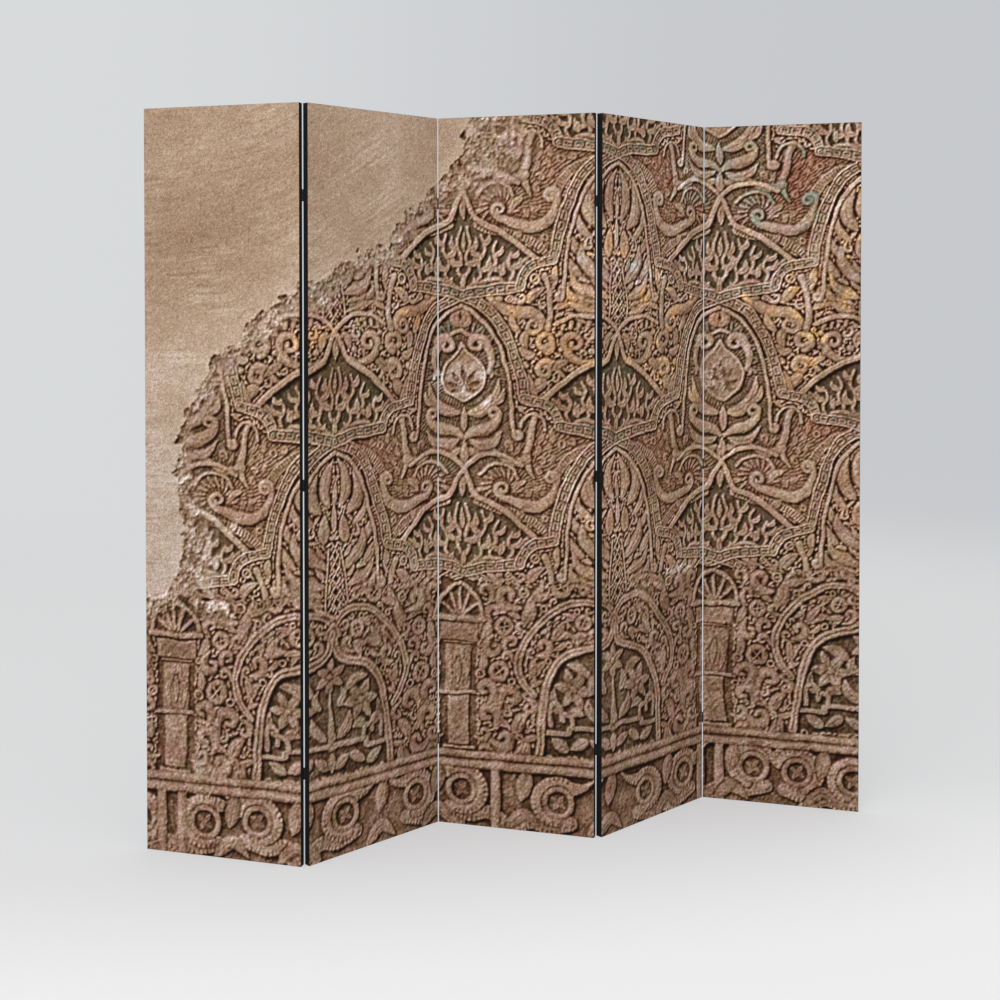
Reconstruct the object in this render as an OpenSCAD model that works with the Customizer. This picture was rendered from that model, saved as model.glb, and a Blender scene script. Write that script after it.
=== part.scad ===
// Five-leaf folding screen. Each leaf is a mitred timber stretcher frame with a printed canvas
// drawn over its front and edges, and a black cloth closing its back. The leaves are joined edge
// to edge by small rolled butt hinges, set alternately at the back and at the front face, so that
// the screen stands as a zigzag and folds to a flat stack.
//
// A leaf's own frame: x runs along the leaf, from its left end to its right end, with zero at its
// middle, y runs from front to back, with zero at half the thickness, and z runs up from the floor.

/* [Leaf] */
// Width of one leaf, over its canvas
leaf_w = 360; // [300:5:450]
// Height of one leaf, over its canvas
leaf_h = 1600; // [1300:10:2000]
// Thickness of one leaf, over its canvas
leaf_t = 16; // [13:0.5:22]
// Angle that each seam is folded by as the screen stands: 0 is straight, 180 is shut
fold = 60; // [0:1:180]

/* [Stretcher bars] */
// Width of a bar, seen from the front
bar_w = 30; // [24:1:45]
// Width of the flat lip that the canvas is drawn over
lip_w = 6; // [3:0.5:12]
// How far the bevel inside the lip falls away from the canvas
bevel_drop = 1.5; // [0.5:0.1:3]
// Radius of the front outer edge that the canvas turns over
edge_r = 1; // [0.5:0.1:2]
// Number of cross rails, spaced evenly up the leaf
cross_count = 2; // [1:1:3]
// Width of a cross rail, seen from the front
cross_w = 30; // [20:1:45]
// Clear space between the canvas and a cross rail
cross_set_back = 3; // [1:0.5:5]
// Glue line between two pieces of the frame
glue_line = 0.05; // [0.02:0.01:0.2]

/* [Joint tongues] */
// Length of a tongue across its joint
tongue_l = 18; // [12:1:22]
// Width of a tongue along its joint
tongue_w = 14; // [8:1:16]
// Thickness of a tongue
tongue_t = 3; // [2:0.5:5]
// Clearance round a tongue in its slot
tongue_fit = 0.05; // [0.02:0.01:0.3]

/* [Canvas and backing cloth] */
// Thickness of the canvas
canvas_t = 0.5; // [0.3:0.1:1]
// How much tighter the canvas turns than the bar's rounded edge behind it
turn_slack = 0.1; // [0.05:0.05:0.3]
// Width of canvas turned in behind the frame
return_w = 25; // [15:1:30]
// Thickness of the backing cloth
backing_t = 0.3; // [0.2:0.05:0.4]
// Distance from the backing cloth's edge to the leaf's edge
backing_inset = 6; // [4:0.5:12]

/* [Hinges] */
// Height of a hinge
hinge_h = 25; // [20:1:40]
// Height of the top and bottom hinges' middles from the nearer end, as a share of the leaf's height
hinge_share = 0.12; // [0.06:0.01:0.2]
// Gap between two leaves when they stand in line
gap = 2.5; // [2:0.1:4]
// How far the hinge axis stands proud of the leaf's face
pivot_proud = 0.5; // [0.5:0.1:2]
// Thickness of the hinge's sheet
flap_t = 0.7; // [0.5:0.05:0.9]
// Depth of a flap, from the hinge axis to its far edge
flap_d = 13; // [9:0.5:13]
// Radius of a flap's two far corners
flap_corner_r = 1.5; // [0.5:0.1:3]
// Radius of the hinge pin
pin_r = 0.65; // [0.5:0.05:1]
// Running clearance between the pin and a knuckle, on the radius
pin_fit = 0.03; // [0.02:0.01:0.08]
// Number of knuckles along a hinge
knuckle_count = 5; // [3:2:7]
// End clearance between two knuckles
knuckle_gap = 0.2; // [0.1:0.05:0.5]
// Clearance round the knuckles, to the leaf's edge and to the other flap
knuckle_room = 0.3; // [0.2:0.05:0.6]

/* [Hinge screws] */
// Length of a screw
screw_l = 12; // [8:1:16]
// Radius of a screw's shank
screw_r = 1; // [0.8:0.1:1.3]
// Radius of a screw's head
screw_head_r = 1.8; // [1.5:0.1:2.2]
// Distance from the hinge axis to the line of the screws
screw_row = 7.2; // [5:0.1:8]
// Distance between a flap's two screws
screw_pitch = 14; // [10:0.5:18]
// Clearance round a screw in its hole
screw_fit = 0.05; // [0.02:0.01:0.2]
// Width of the cross cut in a screw's head
recess_w = 0.5; // [0.3:0.05:0.8]
// Depth of the cross cut in a screw's head
recess_d = 0.6; // [0.3:0.05:0.9]

/* [Hidden] */
LEAVES = 5;
MIDDLE = 3;
FRAME_PIECES = ["left_stile", "right_stile", "top_rail", "bottom_rail", "cross_rails", "joint_tongues"];
LEAF_PIECES = concat(FRAME_PIECES, ["printed_canvas", "back_cloth", "hinge_screws"]);
SEAM_PIECES = ["hinge_flaps_a", "hinge_flaps_b", "hinge_pins"];
$fn = 48;
LEFT = -1;
RIGHT = 1;
PRINT = [0.53, 0.41, 0.33];
PINE = [0.80, 0.66, 0.46];
PLYWOOD = [0.70, 0.55, 0.38];
CLOTH = [0.07, 0.07, 0.07];
LACQUER = [0.10, 0.10, 0.11];
STEEL = [0.55, 0.55, 0.57];
BIT = 1;                                  // how far a cutting shape runs past what it cuts

bar_t = leaf_t - 2 * canvas_t;            // the frame's own thickness
frame_w = leaf_w - 2 * canvas_t;
frame_h = leaf_h - 2 * canvas_t;
turn_r = edge_r - turn_slack;             // inside radius of the canvas where it turns over
cross_l = frame_w - 2 * bar_w;
knuckle_r = pin_r + pin_fit + flap_t;     // the knuckle is rolled from the flap's sheet
screw_head_h = screw_head_r - screw_r;    // a 90 degree countersunk head
screw_tip_h = 2 * screw_r;
axis_x = (leaf_w + gap) / 2;              // from a leaf's middle to either hinge axis
axis_y = leaf_t / 2 + pivot_proud;
hinge_heights = [leaf_h * hinge_share, leaf_h / 2, leaf_h * (1 - hinge_share)];
screw_rises = [-screw_pitch / 2, screw_pitch / 2];
cross_heights = [for (n = [1:cross_count]) leaf_h * n / (cross_count + 1)];

// ---- Where the leaves stand -------------------------------------------------------------------

// Odd leaves run towards the viewer and even ones away, so seams 1 and 3 point at the viewer.
function heading(leaf) = (leaf % 2 == 1 ? -1 : 1) * fold / 2;
function hinge_side(seam) = seam % 2 == 1 ? 1 : -1;
function turned(v, angle) = [v.x * cos(angle) - v.y * sin(angle), v.x * sin(angle) + v.y * cos(angle)];
function hinge_axis(leaf, end) =
    let (seam = end == RIGHT ? leaf : leaf - 1)
    turned([end * axis_x, hinge_side(seam) * axis_y], heading(leaf));
function leaf_place(leaf) =
    leaf == MIDDLE ? [0, 0]
    : leaf > MIDDLE ? leaf_place(leaf - 1) + hinge_axis(leaf - 1, RIGHT) - hinge_axis(leaf, LEFT)
    : leaf_place(leaf + 1) + hinge_axis(leaf + 1, LEFT) - hinge_axis(leaf, RIGHT);
function seam_at(leaf, end) = end == RIGHT ? leaf : leaf - 1;
function has_seam(leaf, end) = seam_at(leaf, end) >= 1 && seam_at(leaf, end) < LEAVES;

module stand_leaf(leaf) translate(leaf_place(leaf)) rotate(heading(leaf)) children();

// Puts a hinge part, drawn for a left-hand leaf whose body lies towards +y, on a leaf's edge.
module on_hinge_axis(leaf, end) {
    side = hinge_side(seam_at(leaf, end));
    for (height = hinge_heights)
        translate([end * axis_x, side * axis_y, height])
            mirror([end == LEFT ? 1 : 0, 0, 0])
                mirror([0, side == 1 ? 1 : 0, 0])
                    children();
}

// ---- Stretcher frame --------------------------------------------------------------------------

// The section of a bar: x inwards from its outer edge, y from its front to its back.
module bar_section() {
    translate([edge_r, edge_r]) circle(edge_r);
    polygon([
        [edge_r, 0], [lip_w, 0], [bar_w, bevel_drop],
        [bar_w, bar_t], [0, bar_t], [0, edge_r], [edge_r, edge_r]
    ]);
}

// A bar standing on end, its outer edge at x = 0, with both ends cut to a mitre.
module mitred_bar(length) {
    intersection() {
        linear_extrude(length) bar_section();
        translate([0, bar_t + BIT, 0])
            rotate([90, 0, 0])
                linear_extrude(bar_t + 2 * BIT)
                    polygon([
                        [-BIT, glue_line - BIT], [bar_w + BIT, bar_w + glue_line + BIT],
                        [bar_w + BIT, length - bar_w - glue_line - BIT], [-BIT, length - glue_line + BIT]
                    ]);
    }
}

module tongue(grow = 0) {
    size = [tongue_l, tongue_t, tongue_w] + 2 * grow * [1, 1, 1];
    translate(-size / 2) cube(size);
}

// The middles of the four mitres, and the turn that lays a tongue square across each.
module at_corners() {
    for (side = [LEFT, RIGHT], up = [-1, 1])
        translate([side * (frame_w - bar_w) / 2, 0, leaf_h / 2 + up * (frame_h - bar_w) / 2])
            rotate([0, up * side * 45, 0])
                children();
}

module at_cross_joints() {
    for (side = [LEFT, RIGHT], height = cross_heights)
        translate([side * cross_l / 2, cross_set_back / 2, height]) children();
}

module all_tongues(grow = 0) {
    at_corners() tongue(grow);
    at_cross_joints() tongue(grow);
}

// The knuckle notches and screw holes in one edge of a leaf.
module edge_cuts(leaf, end, hole_r, hole_l) {
    if (has_seam(leaf, end))
        on_hinge_axis(leaf, end) {
            translate([0, 0, -hinge_h / 2 - knuckle_room])
                cylinder(r = knuckle_r + knuckle_room, h = hinge_h + 2 * knuckle_room);
            for (rise = screw_rises)
                translate([-gap / 2 + BIT, screw_row, rise])
                    rotate([0, -90, 0]) cylinder(r = hole_r, h = hole_l + BIT);
        }
}

module stile(leaf, end) {
    color(PINE)
        difference() {
            translate([end * frame_w / 2, -bar_t / 2, canvas_t])
                mirror([end == RIGHT ? 1 : 0, 0, 0])
                    mitred_bar(frame_h);
            all_tongues(tongue_fit);
            edge_cuts(leaf, end, screw_r + screw_fit, screw_l);
        }
}

module end_rail(top) {
    color(PINE)
        difference() {
            translate([-frame_w / 2, -bar_t / 2, top ? leaf_h - canvas_t : canvas_t])
                mirror([0, 0, top ? 1 : 0])
                    translate([frame_w, 0, 0])
                        rotate([0, -90, 0])
                            mitred_bar(frame_w);
            all_tongues(tongue_fit);
        }
}

module cross_rails() {
    length = cross_l - 2 * glue_line;
    thickness = bar_t - cross_set_back;
    color(PINE)
        difference() {
            for (height = cross_heights)
                translate([-length / 2, bar_t / 2 - thickness, height - cross_w / 2])
                    cube([length, thickness, cross_w]);
            all_tongues(tongue_fit);
        }
}

module joint_tongues() color(PLYWOOD) all_tongues();

// ---- Cloth ------------------------------------------------------------------------------------

// The two front corners of this outline are rounded; y runs from front to back.
module front_rounded(width, thickness, r) {
    for (side = [LEFT, RIGHT]) translate([side * (width / 2 - r), r]) circle(r);
    translate([-width / 2 + r, 0]) square([width - 2 * r, r]);
    translate([-width / 2, r]) square([width, thickness - r]);
}

// A slab whose four front edges are rounded, standing on z = 0 with half its thickness at y = 0.
module round_edged_slab(width, thickness, height, r) {
    intersection() {
        translate([0, -thickness / 2, 0])
            linear_extrude(height) front_rounded(width, thickness, r);
        translate([-width / 2, -thickness / 2, height / 2])
            rotate([90, 0, 90])
                linear_extrude(width)
                    rotate(-90)
                        front_rounded(height, thickness, r);
    }
}

// Canvas over the front and all four edges, turned in behind the frame.
module printed_canvas(leaf) {
    window_w = leaf_w - 2 * return_w;
    window_h = leaf_h - 2 * return_w;
    hole_r = screw_head_r - screw_head_h / 2;
    color(PRINT)
        difference() {
            round_edged_slab(leaf_w, leaf_t, leaf_h, turn_r + canvas_t);
            translate([0, 0, canvas_t]) round_edged_slab(frame_w, bar_t, frame_h, turn_r);
            translate([-window_w / 2, 0, return_w]) cube([window_w, leaf_t, window_h]);
            for (end = [LEFT, RIGHT]) edge_cuts(leaf, end, hole_r, canvas_t + BIT);
        }
}

module back_cloth() {
    color(CLOTH)
        translate([-leaf_w / 2 + backing_inset, leaf_t / 2, backing_inset])
            cube([leaf_w - 2 * backing_inset, backing_t, leaf_h - 2 * backing_inset]);
}

// ---- Hinges -----------------------------------------------------------------------------------

// The flat of a flap: y away from the hinge axis and z up, with its two far corners rounded.
module flap_plate() {
    near = knuckle_r + knuckle_room;
    far = flap_d - flap_corner_r;
    difference() {
        translate([-gap / 2, near, -hinge_h / 2]) cube([flap_t, flap_d - near, hinge_h]);
        for (up = [-1, 1])
            translate([-gap / 2 - BIT, 0, 0])
                difference() {
                    translate([0, far, up == 1 ? hinge_h / 2 - flap_corner_r : -hinge_h / 2 - BIT])
                        cube([flap_t + 2 * BIT, flap_corner_r + BIT, flap_corner_r + BIT]);
                    translate([0, far, up * (hinge_h / 2 - flap_corner_r)])
                        rotate([0, 90, 0]) cylinder(r = flap_corner_r, h = flap_t + 2 * BIT);
                }
    }
}

// One knuckle in its own slice of the hinge, rolled from the flap's sheet.
module knuckle(index) {
    pitch = hinge_h / knuckle_count;
    low = -hinge_h / 2 + index * pitch + (index == 0 ? 0 : knuckle_gap / 2);
    high = -hinge_h / 2 + (index + 1) * pitch - (index == knuckle_count - 1 ? 0 : knuckle_gap / 2);
    translate([0, 0, low])
        difference() {
            union() {
                cylinder(r = knuckle_r, h = high - low);
                translate([-gap / 2, 0, 0]) cube([flap_t, knuckle_r + knuckle_room + BIT, high - low]);
            }
            translate([0, 0, -BIT]) cylinder(r = pin_r + pin_fit, h = high - low + 2 * BIT);
        }
}

// A flap with every second knuckle, the first one being 0 or 1, and countersunk holes.
module hinge_flap(first) {
    sunk_r = screw_head_r + screw_fit + BIT;
    color(LACQUER)
        difference() {
            union() {
                flap_plate();
                for (index = [first:2:knuckle_count - 1]) knuckle(index);
            }
            for (rise = screw_rises)
                translate([-gap / 2, screw_row, rise]) {
                    rotate([0, 90, 0])
                        translate([0, 0, -BIT]) cylinder(r = screw_r + screw_fit, h = flap_t + 2 * BIT);
                    translate([flap_t - screw_head_h, 0, 0])
                        rotate([0, 90, 0])
                            cylinder(r1 = screw_r + screw_fit, r2 = sunk_r, h = screw_head_h + BIT);
                }
        }
}

module hinge_pin() {
    bevel = pin_r / 3;
    color(STEEL)
        rotate_extrude()
            polygon([
                [0, -hinge_h / 2], [pin_r - bevel, -hinge_h / 2], [pin_r, -hinge_h / 2 + bevel],
                [pin_r, hinge_h / 2 - bevel], [pin_r - bevel, hinge_h / 2], [0, hinge_h / 2]
            ]);
}

// A countersunk screw whose head is flush with the inner face of its flap.
module hinge_screw() {
    color(LACQUER)
        translate([-gap / 2 + flap_t, screw_row, 0])
            rotate([0, -90, 0])
                difference() {
                    rotate_extrude()
                        polygon([
                            [0, 0], [screw_head_r, 0], [screw_r, screw_head_h],
                            [screw_r, screw_l - screw_tip_h], [0, screw_l]
                        ]);
                    for (quarter = [0, 90])
                        rotate(quarter)
                            translate([-screw_r, -recess_w / 2, -BIT])
                                cube([2 * screw_r, recess_w, recess_d + BIT]);
                }
}

module flaps(leaf, end) on_hinge_axis(leaf, end) hinge_flap(end == RIGHT ? 0 : 1);

module pins(leaf) on_hinge_axis(leaf, RIGHT) hinge_pin();

module screws(leaf) {
    for (end = [LEFT, RIGHT])
        if (has_seam(leaf, end))
            on_hinge_axis(leaf, end)
                for (rise = screw_rises) translate([0, 0, rise]) hinge_screw();
}

// ---- The screen -------------------------------------------------------------------------------

module leaf_piece(leaf, piece) {
    if (piece == "left_stile") stile(leaf, LEFT);
    if (piece == "right_stile") stile(leaf, RIGHT);
    if (piece == "top_rail") end_rail(true);
    if (piece == "bottom_rail") end_rail(false);
    if (piece == "cross_rails") cross_rails();
    if (piece == "joint_tongues") joint_tongues();
    if (piece == "printed_canvas") printed_canvas(leaf);
    if (piece == "back_cloth") back_cloth();
    if (piece == "hinge_screws") screws(leaf);
}

// Flaps a and the pins are on the leaf to the left of the seam, and flaps b on the one to its right.
module seam_piece(seam, piece) {
    if (piece == "hinge_flaps_a") stand_leaf(seam) flaps(seam, RIGHT);
    if (piece == "hinge_flaps_b") stand_leaf(seam + 1) flaps(seam + 1, LEFT);
    if (piece == "hinge_pins") stand_leaf(seam) pins(seam);
}

for (leaf = [1:LEAVES], piece = LEAF_PIECES)
    stand_leaf(leaf) leaf_piece(leaf, piece);
for (seam = [1:LEAVES - 1], piece = SEAM_PIECES)
    seam_piece(seam, piece);
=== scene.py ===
"""Five-leaf folding screen: its looks, made round the frame that the construction model gives.

The leaves carry a printed picture of a carved plaster wall. The picture is drawn here as a relief,
in millimetres, and reaches the canvas as attributes of its mesh, which the print's material reads.
"""
import math

import bmesh
import bpy
import numpy as np
from bpy.props import FloatProperty, FloatVectorProperty, IntProperty, PointerProperty
from mathutils import Matrix, Vector


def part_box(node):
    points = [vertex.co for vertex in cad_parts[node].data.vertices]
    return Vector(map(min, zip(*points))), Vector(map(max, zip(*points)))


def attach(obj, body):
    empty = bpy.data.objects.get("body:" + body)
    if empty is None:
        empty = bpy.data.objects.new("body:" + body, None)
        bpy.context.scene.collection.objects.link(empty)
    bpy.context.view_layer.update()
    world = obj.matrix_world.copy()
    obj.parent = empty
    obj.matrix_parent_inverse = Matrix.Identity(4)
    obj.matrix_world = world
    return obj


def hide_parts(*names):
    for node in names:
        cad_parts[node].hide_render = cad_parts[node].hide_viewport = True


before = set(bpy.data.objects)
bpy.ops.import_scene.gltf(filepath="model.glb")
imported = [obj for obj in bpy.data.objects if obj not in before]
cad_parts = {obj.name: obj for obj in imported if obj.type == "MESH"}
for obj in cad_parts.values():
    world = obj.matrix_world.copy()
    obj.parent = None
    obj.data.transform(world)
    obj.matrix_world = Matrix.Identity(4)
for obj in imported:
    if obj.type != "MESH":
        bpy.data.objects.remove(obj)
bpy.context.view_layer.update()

bl_info = {
    "name": "Folding screen",
    "version": (1, 0, 0),
    "blender": (4, 5, 0),
    "location": "3D View > Sidebar > Screen",
    "description": "Builds the canvases, cloths, staples and finishes of a five-leaf folding screen",
    "category": "Object",
}

MM = 0.001
LEAVES = 5
FOLD = 60  # degrees between one leaf and the next
CLOTH_INSET = 6 * MM  # from the backing cloth's edge to the leaf's
CAD_CLOTH = 0.3 * MM  # thickness of the construction model's backing cloth


def heading(leaf):
    """How far a leaf is turned from the row, in radians: odd leaves run towards the viewer."""
    return math.radians(-FOLD / 2 if leaf % 2 else FOLD / 2)


def leaf_width():
    """The width over one leaf's canvas, from the box of its turned backing cloth."""
    (x0, y0, _), (x1, y1, _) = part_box("leaf_3_back_cloth")
    c, s = math.cos(heading(3)), abs(math.sin(heading(3)))
    cloth = ((x1 - x0) * c - (y1 - y0) * s) / (c * c - s * s)
    return round(cloth / MM) * MM + 2 * CLOTH_INSET


LEAF_W, LEAF_T = leaf_width(), 16 * MM
LEAF_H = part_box("leaf_3_printed_canvas")[1][2]


def leaf_frame(leaf):
    """The matrix that stands a piece drawn on a leaf's own axes where that leaf stands."""
    low, high = (Vector(p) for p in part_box(f"leaf_{leaf}_back_cloth"))
    turn = Matrix.Rotation(heading(leaf), 4, "Z")
    middle = (low + high) / 2
    behind = turn @ Vector((0, (LEAF_T + CAD_CLOTH) / 2, 0))
    return Matrix.Translation((middle.x - behind.x, middle.y - behind.y, 0)) @ turn


def shade(red, green, blue):
    """A colour as a picture shows it, 0 to 255, in the linear numbers that Blender takes."""
    return tuple(((v / 255 + 0.055) / 1.055) ** 2.4 for v in (red, green, blue))


def length(name, text, default, low, high):
    return FloatProperty(name=name, description=text, default=default, min=low, max=high, precision=5,
                         subtype="DISTANCE", unit="LENGTH")


def colour(name, text, *rgb):
    return FloatVectorProperty(name=name, description=text, default=shade(*rgb), min=0, max=1, size=3,
                               subtype="COLOR")


def plain(kind, name, text, default, low, high, **more):
    return kind(name=name, description=text, default=default, min=low, max=high, **more)


class ScreenSizes(bpy.types.PropertyGroup):
    """Sizes of the soft parts. Those of the frame and hinges come from the construction model."""

    leaf_width: length("Leaf width", "Width of one leaf over its canvas", LEAF_W, 0.3, 0.45)
    leaf_height: length("Leaf height", "Height of one leaf over its canvas", LEAF_H, 1.3, 2.0)
    leaf_thickness: length("Leaf thickness", "Thickness of one leaf over its canvas", LEAF_T, 0.013, 0.022)
    canvas_thickness: length("Canvas thickness", "Thickness of the printed canvas", 0.5 * MM, 0.0003, 0.001)
    front_turn: length("Front edge radius", "Radius of the canvas at its front edges", 0.7 * MM, 0.0005, 0.003)
    back_turn: length("Back edge radius", "Radius of the canvas at its back edges", 0.6 * MM, 0.0003, 0.0012)
    side_slack: length("Side slack", "How far the canvas stands out at each side", 0.4 * MM, 0, 0.0006)
    turned_in: length("Turned-in width", "Width of canvas turned in behind the frame", 25 * MM, 0.015, 0.03)
    columns: plain(IntProperty, "Mesh columns", "Faces across a canvas's picture", 143, 40, 143)
    rows: plain(IntProperty, "Mesh rows", "Faces up a canvas's picture", 644, 150, 644)
    weave: length("Weave pitch", "Distance between two threads of the canvas", 0.8 * MM, 0.0004, 0.002)
    cloth_inset: length("Cloth inset", "Width of leaf left bare round its backing cloth", CLOTH_INSET, 0.004, 0.012)
    cloth_thickness: length("Cloth thickness", "Thickness of the backing cloth", 0.13 * MM, 0.00008, 0.00014)
    hem: length("Hem width", "Width of the backing cloth's folded hem", 12 * MM, 0.006, 0.02)
    cloth_slack: length("Cloth slack", "How far the cloth sinks between the bars", 0.45 * MM, 0, 0.001)
    staple_width: length("Staple width", "Length of a staple's crown", 10 * MM, 0.006, 0.013)
    staple_wire: length("Staple wire", "Width of a staple's flat wire", 1.2 * MM, 0.0006, 0.0016)
    staple_rise: length("Staple rise", "How far a staple's crown stands out of the hem", 0.2 * MM, 0, 0.00023)
    staple_pitch: length("Staple pitch", "Distance between two staples along a hem", 62 * MM, 0.03, 0.12)


class PrintColours(bpy.types.PropertyGroup):
    """Colours of the printed picture and of the plain cloth."""

    stone: colour("Carved plaster", "Bare carved plaster in plain light", 170, 140, 118)
    foot: colour("Foot of the wall", "The browner plaster low on the wall", 157, 127, 107)
    plaster: colour("Patch", "The smooth plaster patch at the top left", 200, 178, 160)
    dust: colour("Dust", "The pale broken plaster round the patch", 180, 158, 142)
    green: colour("Green paint", "Grey-green paint left in cartouches and bands", 104, 106, 88)
    ochre: colour("Ochre paint", "Ochre paint left on leaves and scrolls", 206, 160, 104)
    lilac: colour("Lilac paint", "Faded lilac paint left on leaves", 176, 156, 150)
    red: colour("Red paint", "Red paint left on the grounds", 148, 82, 62)
    teal: colour("Teal paint", "Blue-green paint left on the rims of horns", 110, 117, 101)
    chalk: colour("Limewash", "Pale patches of old limewash", 208, 192, 181)
    edge: colour("Canvas edge", "The black border that turns over the leaf's edges", 24, 24, 26)
    cloth: colour("Backing cloth", "The black cloth that closes the back", 30, 30, 31)


class TrimColours(bpy.types.PropertyGroup):
    """Colours of the timber and the metal parts."""

    pine: colour("Pine", "The stretcher bars", 214, 178, 128)
    pine_grain: colour("Pine grain", "The darker growth rings of the bars", 176, 130, 80)
    plywood: colour("Plywood", "The tongues in the frame's joints", 190, 152, 108)
    lacquer: colour("Hinge lacquer", "The black lacquer of flaps and screws", 28, 28, 29)
    steel: colour("Pin steel", "The bright steel of the pins and staples", 168, 168, 172)


class StageSettings(bpy.types.PropertyGroup):
    """The camera, the floor and the light."""

    floor: colour("Floor", "The floor near the screen", 233, 234, 235)
    sky: plain(FloatProperty, "Sky", "Strength of the light from all round", 0.8, 0, 2)
    lamp: plain(FloatProperty, "Lamp", "Power of the large soft lamp, in watts", 90, 0, 500, unit="POWER")
    shift: plain(FloatProperty, "Upright shift", "Share of the picture the lens is shifted up", -0.17, -0.5, 0.5)


# ---- The picture ------------------------------------------------------------------------------


# Lengths here are millimetres on the flat picture, x from its left edge and y down from its top.
PICTURE = (1800, 1600)
CELL = 1.25
SPAN = 350.0  # from a leafy arch to the shell arch beside it
RISE = 625.0  # from one arch to the next above it; neighbours stand half of it higher
AXIS, AXIS_Y = 430.0, 635.0  # where a leafy arch springs
LOWER_TOP, LOWER_H, LOWER_AXIS = 1030.0, 400.0, 418.0
BAND_TOP = 1428
PAINTS = ("green", "ochre", "lilac", "red", "chalk", "teal")


def ease(x):
    """0 below 0, 1 above 1, and smooth between."""
    x = np.clip(x, 0.0, 1.0)
    return x * x * (3 - 2 * x)


def running_sum(field, k, axis, edge):
    """The sum of each cell with the k cells before and after it."""
    pad = [(0, 0), (0, 0)]
    pad[axis] = (k + 1, k)
    s = np.cumsum(np.pad(field, pad, edge), axis=axis, dtype=np.float64)
    n = 2 * k + 1
    return (s[n:] - s[:-n]) if axis == 0 else (s[:, n:] - s[:, :-n])


def soften(field, size):
    """field blurred by about size millimetres, with its edges held."""
    k = int(round(size / CELL))
    out = np.asarray(field, np.float32)
    for axis in (0, 1, 0, 1):
        out = running_sum(out, k, axis, "edge").astype(np.float32) / (2 * k + 1)
    return out


def mottle(shape, size, seed, stretch=(1.0, 1.0)):
    """Smooth random patches about size millimetres across, of mean 0 and spread 1."""
    out = np.random.default_rng(seed).standard_normal(shape).astype(np.float32)
    for axis in (0, 1):
        k = max(1, int(round(size * stretch[axis] / CELL / 2)))
        for _ in range(2):
            out = running_sum(out, k, axis, "wrap").astype(np.float32)
    return (out - out.mean()) / out.std()


def sides(x, y, corners):
    """Which cells a closed outline goes round an odd number of times, and its sides as pairs of ends."""
    odd, pairs = np.zeros((len(y), len(x)), bool), list(zip(corners, corners[1:]))
    x, y = x[None, :], y[:, None]
    for (ax, ay), (bx, by) in pairs:
        if ay != by:
            odd ^= ((y < ay) != (y < by)) & (x < ax + (y - ay) * (bx - ax) / (by - ay))
    return odd, pairs


def through(points, step=3.0):
    """A smooth curve through the points, as points a few millimetres apart."""
    p = np.array(points, float)
    if len(p) == 1:
        return np.vstack([p, p + [0.01, 0]])
    around = np.vstack([2 * p[0] - p[1], p, 2 * p[-1] - p[-2]])
    out = []
    for a, b, c, d in zip(around, around[1:], around[2:], around[3:]):
        count = max(1, int(round(math.hypot(*(c - b)) / step)))
        t = (np.arange(count) / count)[:, None]
        bend, twist = 2 * a - 5 * b + 4 * c - d, 3 * b - a - 3 * c + d
        out.append(0.5 * (2 * b + (c - a) * t + bend * t**2 + twist * t**3))
    return np.vstack(out + [p[-1:]])


def polar(x, y, reach, angle, tall=None):
    """The point this far from (x, y) at an angle, on a circle or on an ellipse that is tall upright."""
    return x + reach * math.cos(angle), y + (reach if tall is None else tall) * math.sin(angle)


def scroll(x, y, radius, start, turns=1.4, inner=0.25):
    """A spiral that winds in to (x, y). It starts at an angle, in degrees clockwise from the right.

    Negative turns wind the other way.
    """
    t = np.linspace(0, 1, max(6, int(abs(turns) * 14)))
    r = radius * (1 - (1 - inner) * t**0.9)
    a = math.radians(start) + 2 * math.pi * turns * t
    return [(x + c, y + s) for c, s in zip(r * np.cos(a), r * np.sin(a))]


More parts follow.
